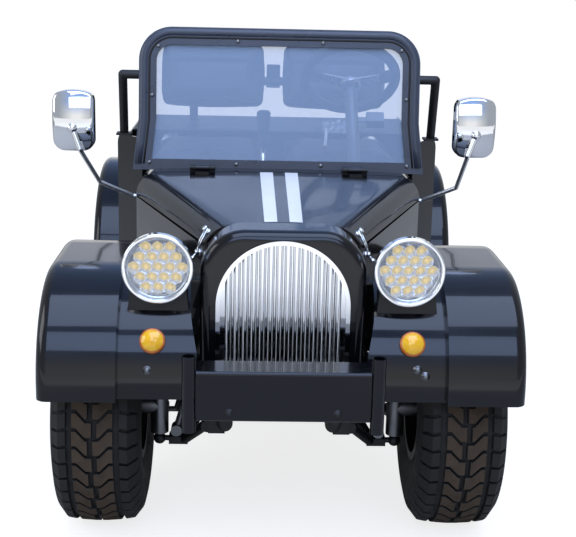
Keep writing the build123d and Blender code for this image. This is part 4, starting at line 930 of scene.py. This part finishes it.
low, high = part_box("hood")
STRIPE_FRONT, STRIPE_REAR = (0.012, 0.037), (0.014, 0.044)
FILM_STEPS, FILM_ROWS, FILM_T, FILM_EDGE = 64, 5, 0.0003, 0.003
ABOVE, DOWN = 1.5, Vector((0, 0, -1))
hood_skin = surface_of("hood")
mesh = bmesh.new()
for side in (-1, 1):
    lines = []
    for k in range(FILM_STEPS + 1):
        share = k / FILM_STEPS
        y = low[1] + FILM_EDGE + (high[1] - low[1] - 2 * FILM_EDGE) * share
        inner, outer = (a + (b - a) * share for a, b in zip(STRIPE_FRONT, STRIPE_REAR))
        across = [side * (inner + (outer - inner) * j / (FILM_ROWS - 1)) for j in range(FILM_ROWS)]
        hits = [hood_skin.ray_cast(Vector((x, y, ABOVE)), DOWN) for x in across]
        if all(hit[0] for hit in hits):
            lines.append([mesh.verts.new(hit[0] - DOWN * FILM_T) for hit in hits])
    for a, b in zip(lines, lines[1:]):
        for j in range(FILM_ROWS - 1):
            mesh.faces.new((a[j], a[j + 1], b[j + 1], b[j])).smooth = True
new_piece("hood_stripes", mesh, (film,), "bonnet")

# %% [markdown]
# ## Screws and bolts
# Round-head screws hold the glass in its frame, dome bolts hold the aprons and the bumper, and hexagon nuts
# hold the wheels. Each is set where a ray from outside meets its panel and looks out along the panel's own
# direction, so it sits flat whatever the slope. One turned line makes every head of a kind.

# %% Heads set on their panels
SCREW = ((0.0050, -0.001), (0.0050, 0.0006), (0.0044, 0.0022), (0.0030, 0.0034), (0.0012, 0.0038))
DOME = (
    (0.0085, -0.001), (0.0085, 0.001), (0.0062, 0.0012), (0.0056, 0.0036), (0.0036, 0.0054), (0.0012, 0.006),
)
NUT = ((0.0095, -0.001), (0.0095, 0.008), (0.0075, 0.0095), (0.0055, 0.014), (0.002, 0.0155))


def landed(skin, start, way):
    """A frame where a ray meets a surface, looking out of it."""
    hit, normal, _, _ = skin.ray_cast(Vector(start), Vector(way))
    return facing(hit, -normal if normal.dot(Vector(way)) > 0 else normal)


SCREEN_AT = Matrix.Translation((0, -0.210, 0.6782)) @ Matrix.Rotation(math.radians(-9), 4, "X")
SCREEN_SCREWS = ((100, 293), (100, 6), (300, 165), (305, 8), (286, 279))
APRON_BOLTS = ((-252, 409), (253, 416), (268, 404))
BUMPER_BOLTS = ((-97, 368), (97, 368))
NEAR_SCREEN, NEAR_NOSE = -0.2, -2.0
mesh = bmesh.new()
skin = surface_of("windscreen_frame")
into = SCREEN_AT.to_3x3() @ Vector((0, 1, 0))
for x, z in SCREEN_SCREWS:
    for side in (-1, 1):
        ahead = SCREEN_AT @ Vector((side * x * MM, NEAR_SCREEN, z * MM))
        turned(mesh, landed(skin, ahead, into), SCREW, 14)
new_piece("windscreen_screws", mesh, (steel,), "chassis")

mesh = bmesh.new()
for node, slot, spots in (("front_aprons", 0, APRON_BOLTS), ("front_bumper", 1, BUMPER_BOLTS)):
    skin = surface_of(node)
    for x, z in spots:
        turned(mesh, landed(skin, (x * MM, NEAR_NOSE, z * MM), (0, 1, 0)), DOME, 16, slot)
new_piece("dome_bolts", mesh, (steel, satin_black), "chassis")

# %% Wheel nuts
NUT_CIRCLE, NUT_COUNT, OUTSIDE = 0.050, 4, 0.7
for name, body, rim, x, y, z, _, _ in WHEELS:
    mesh = bmesh.new()
    skin = surface_of(rim)
    side = math.copysign(1, x)
    for c, s in circle(NUT_COUNT, math.radians(45)):
        start = (side * OUTSIDE, y + NUT_CIRCLE * c, z + NUT_CIRCLE * s)
        turned(mesh, landed(skin, start, (-side, 0, 0)), NUT, 6)
    new_piece(f"nuts_{name}", mesh, (chrome,), body)

# %% [markdown]
# ## Windscreen tube and seal
# The frame is a bent tube with a flat flange inside it, and a rubber seal lies in the step between them.
# The CAD frame has the flange and the outline. The round front of the tube and the seal are bars swept
# along that outline, which gives the long highlight of a tube instead of the dull face of a plate.

# %% Bars round the frame
SCREEN_HALF, SCREEN_TOP, SCREEN_CORNER = 0.331, 0.324, 0.078
FLARE, FLARE_TOP, FOOT_Z, CORNER_STEPS = 0.012, 0.110, 0.004, 12
TUBE_R, TUBE_FRONT = 0.0115, -0.0045
SEAL_R, SEAL_INSET, SEAL_FRONT = 0.0025, 0.0245, -0.0115


def screen_line(inset, front):
    """The frame's outline, inset from its edge, from one foot over the top to the other."""
    half, top, round_r = SCREEN_HALF - inset, SCREEN_TOP - inset, SCREEN_CORNER - inset
    line = [(half + FLARE, FOOT_Z), (half + FLARE * 0.5, FLARE_TOP / 2), (half, FLARE_TOP)]
    for k in range(CORNER_STEPS + 1):
        a = math.pi / 2 * k / CORNER_STEPS
        line.append((half - round_r * (1 - math.cos(a)), top - round_r * (1 - math.sin(a))))
    line += [(-x, z) for x, z in reversed(line)]
    return [SCREEN_AT @ Vector((x, front, z)) for x, z in line]


mesh = bmesh.new()
swept(mesh, screen_line(TUBE_R, TUBE_FRONT), TUBE_R, sides=20)
swept(mesh, screen_line(SEAL_INSET, SEAL_FRONT), SEAL_R, sides=10, slot=1)
# The tube takes the frame's paint, whose blue-grey is a painted reflection of the sky.
new_piece("windscreen_tube_and_seal", mesh, (frame_paint_and_sky_sheen, rubber), "chassis")

# %% [markdown]
# ## Marker and tail lamps
# Each marker is a yellow dome moulded with rings that spread the light, in a deeper orange rim; the tail
# lamps are larger and red, in a chromed rim. A dyed lens glows from inside because light enters and leaves
# it, so its colour is bright. A plain disc would read as a painted button, so rim and dome are turned, with
# the rings in the turned line, on the axis that the CAD lamp has.

# %% Ringed lenses
marker_dome = dyed_acrylic("yellow_amber_acrylic", ("#ffc21f", "#f5a80f"))
marker_rim = dyed_acrylic("orange_acrylic", ("#d9761c", "#b9560c"))
MARKER_TILT = math.radians(29)
MARKER_WAY = Vector((0, -math.cos(MARKER_TILT), math.sin(MARKER_TILT)))
MARKER_X, MARKER_R = 0.243, 0.024
LENS_RIM = ((0.0238, -0.015), (0.0240, -0.002), (0.0228, 0.0005), (0.0205, 0.0012))
DOME_R, DOME_RISE, DOME_FOOT = 0.0205, 0.0075, 0.002
RING_STEP, RING_COUNT = 0.0034, 5
LAMP_AWAY = 0.2


def ringed_lens(mesh, seat, radius):
    """Rim and ringed dome of a round lamp, drawn at the marker's size and scaled to its radius."""
    stands = seat @ Matrix.Scale(radius / MARKER_R, 4)
    turned(mesh, stands, LENS_RIM, 40, 1)
    dome = [(DOME_R, -0.002), (DOME_R - 0.0002, 0.0022)]
    for k in range(RING_COUNT):
        r = DOME_R - 0.0017 - RING_STEP * k
        rise = DOME_RISE * (1 - (r / DOME_R) ** 2) + DOME_FOOT
        dome += [(r + 0.0006, rise - 0.0004), (r - 0.0012, rise + 0.0006)]
    turned(mesh, stands, dome + [(0.0015, 0.0098)], 40, 0)


low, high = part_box("marker_lamps")
skin = surface_of("marker_lamps")
mesh = bmesh.new()
for side in (-1, 1):
    middle = Vector((side * MARKER_X, (low[1] + high[1]) / 2, (low[2] + high[2]) / 2))
    ringed_lens(mesh, landed(skin, middle + MARKER_WAY * LAMP_AWAY, -MARKER_WAY), MARKER_R)
markers = new_piece("marker_lenses", mesh, (marker_dome, marker_rim), "chassis")
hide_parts("marker_lamps")

low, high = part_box("tail_lamps")
skin = surface_of("tail_lamps")
TAIL_R, TAIL_SINK = (high[2] - low[2]) / 2, 0.4
mesh = bmesh.new()
for side in (-1, 1):
    behind = (side * (high[0] - TAIL_R), high[1] + LAMP_AWAY, low[2] + TAIL_R)
    seat = landed(skin, behind, (0, -1, 0))
    ringed_lens(mesh, seat @ Matrix.Translation((0, 0, -TAIL_R * TAIL_SINK)), TAIL_R)
tails = new_piece("tail_lenses", mesh, (ruby, chrome), "chassis")
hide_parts("tail_lamps")

# %% [markdown]
# ## Hood latches
# On each side a forked spring link below the hood holds a chromed stud on it. One solid link would tear
# when the hood opens, so they are two pieces: the stud rides on the hood, and the fork stays on the panel
# below. The fork is open at its top, which lets the stud out. Studs and bosses are turned, and the prongs
# are bent bars.

# %% Studs and forks
STUD = (
    (0.006, -0.001), (0.006, 0.002), (0.003, 0.0025), (0.003, 0.009),
    (0.0062, 0.0095), (0.0062, 0.012), (0.003, 0.0135),
)
BOSS = ((0.008, -0.001), (0.008, 0.003), (0.0055, 0.004), (0.0055, 0.009), (0.003, 0.0105))
KNOB = ((0.002, -0.0045), (0.004, -0.003), (0.005, 0.0), (0.004, 0.003), (0.002, 0.0045))
STUD_Y, STUD_Z, BOSS_Y, BOSS_Z = -0.748, 0.640, -0.754, 0.600
NECK, PRONG_APART, PRONG_BOW, PRONG_PAST = 0.006, 0.0047, 0.002, 0.004
PRONG_R, TAIL_ROD_R = 0.0014, 0.002
side_skin = surface_of("bonnet_sides")
studs, forks = bmesh.new(), bmesh.new()
for side in (-1, 1):
    stud = landed(hood_skin, (side * OUTSIDE, STUD_Y, STUD_Z), (-side, 0, 0))
    boss = landed(side_skin, (side * OUTSIDE, BOSS_Y, BOSS_Z), (-side, 0, 0))
    out = (stud.col[2] + boss.col[2]).to_3d().normalized()
    turned(studs, stud, STUD, 20)
    turned(forks, boss, BOSS, 20)
    foot, neck = boss @ Vector((0, 0, NECK)), stud @ Vector((0, 0, NECK))
    run = (neck - foot).normalized()
    wide = run.cross(out).normalized() * PRONG_APART
    for k in (-1, 1):
        bow = foot.lerp(neck, 0.5) + out * PRONG_BOW
        swept(forks, [p + wide * k for p in (foot, bow, neck + run * PRONG_PAST)], PRONG_R)
    grip = foot - run * 0.014 + out * 0.004
    swept(forks, [foot, grip], TAIL_ROD_R)
    turned(forks, facing(grip, out), KNOB, 16)
    print("latch link", round((neck - foot).length / MM, 1), "mm")
new_piece("latch_studs", studs, (chrome,), "bonnet")
new_piece("latch_forks", forks, (chrome,), "chassis")

# %% [markdown]
# ## Throttle bracket
# The bracket plate on the column is held by bright dome bolts, and a throttle lever in white vinyl with a
# zinc-plated tip hangs from it. They are small, but among the few bright things seen through the glass. The
# bolts use the turned line from above, and the lever is a bar bent along four points, as a rod is.

# %% Bracket bolts and throttle lever
BRACKET_BOLTS = ((-62, -160), (-48, -158), (-48, -172), (-33, -152), (-34, -177))
BRACKET_FACE, THROTTLE_R = -0.0025, 0.0042
THROTTLE = (
    (-0.066, -0.006, -0.178), (-0.067, -0.010, -0.198), (-0.069, -0.012, -0.222), (-0.072, -0.012, -0.240),
)
mesh = bmesh.new()
look_out = Matrix.Rotation(math.radians(90), 4, "X")
for x, z in BRACKET_BOLTS:
    turned(mesh, COLUMN_AT @ Matrix.Translation((x * MM, BRACKET_FACE, z * MM)) @ look_out, DOME, 16)
lever_line = [COLUMN_AT @ Vector(p) for p in THROTTLE]
swept(mesh, lever_line, THROTTLE_R, sides=14, slot=1)
turned(mesh, facing(lever_line[-1], lever_line[-1] - lever_line[-2]), KNOB, 16, 2)
new_piece("throttle_bracket_fittings", mesh, (alloy, film, zinc), "chassis")
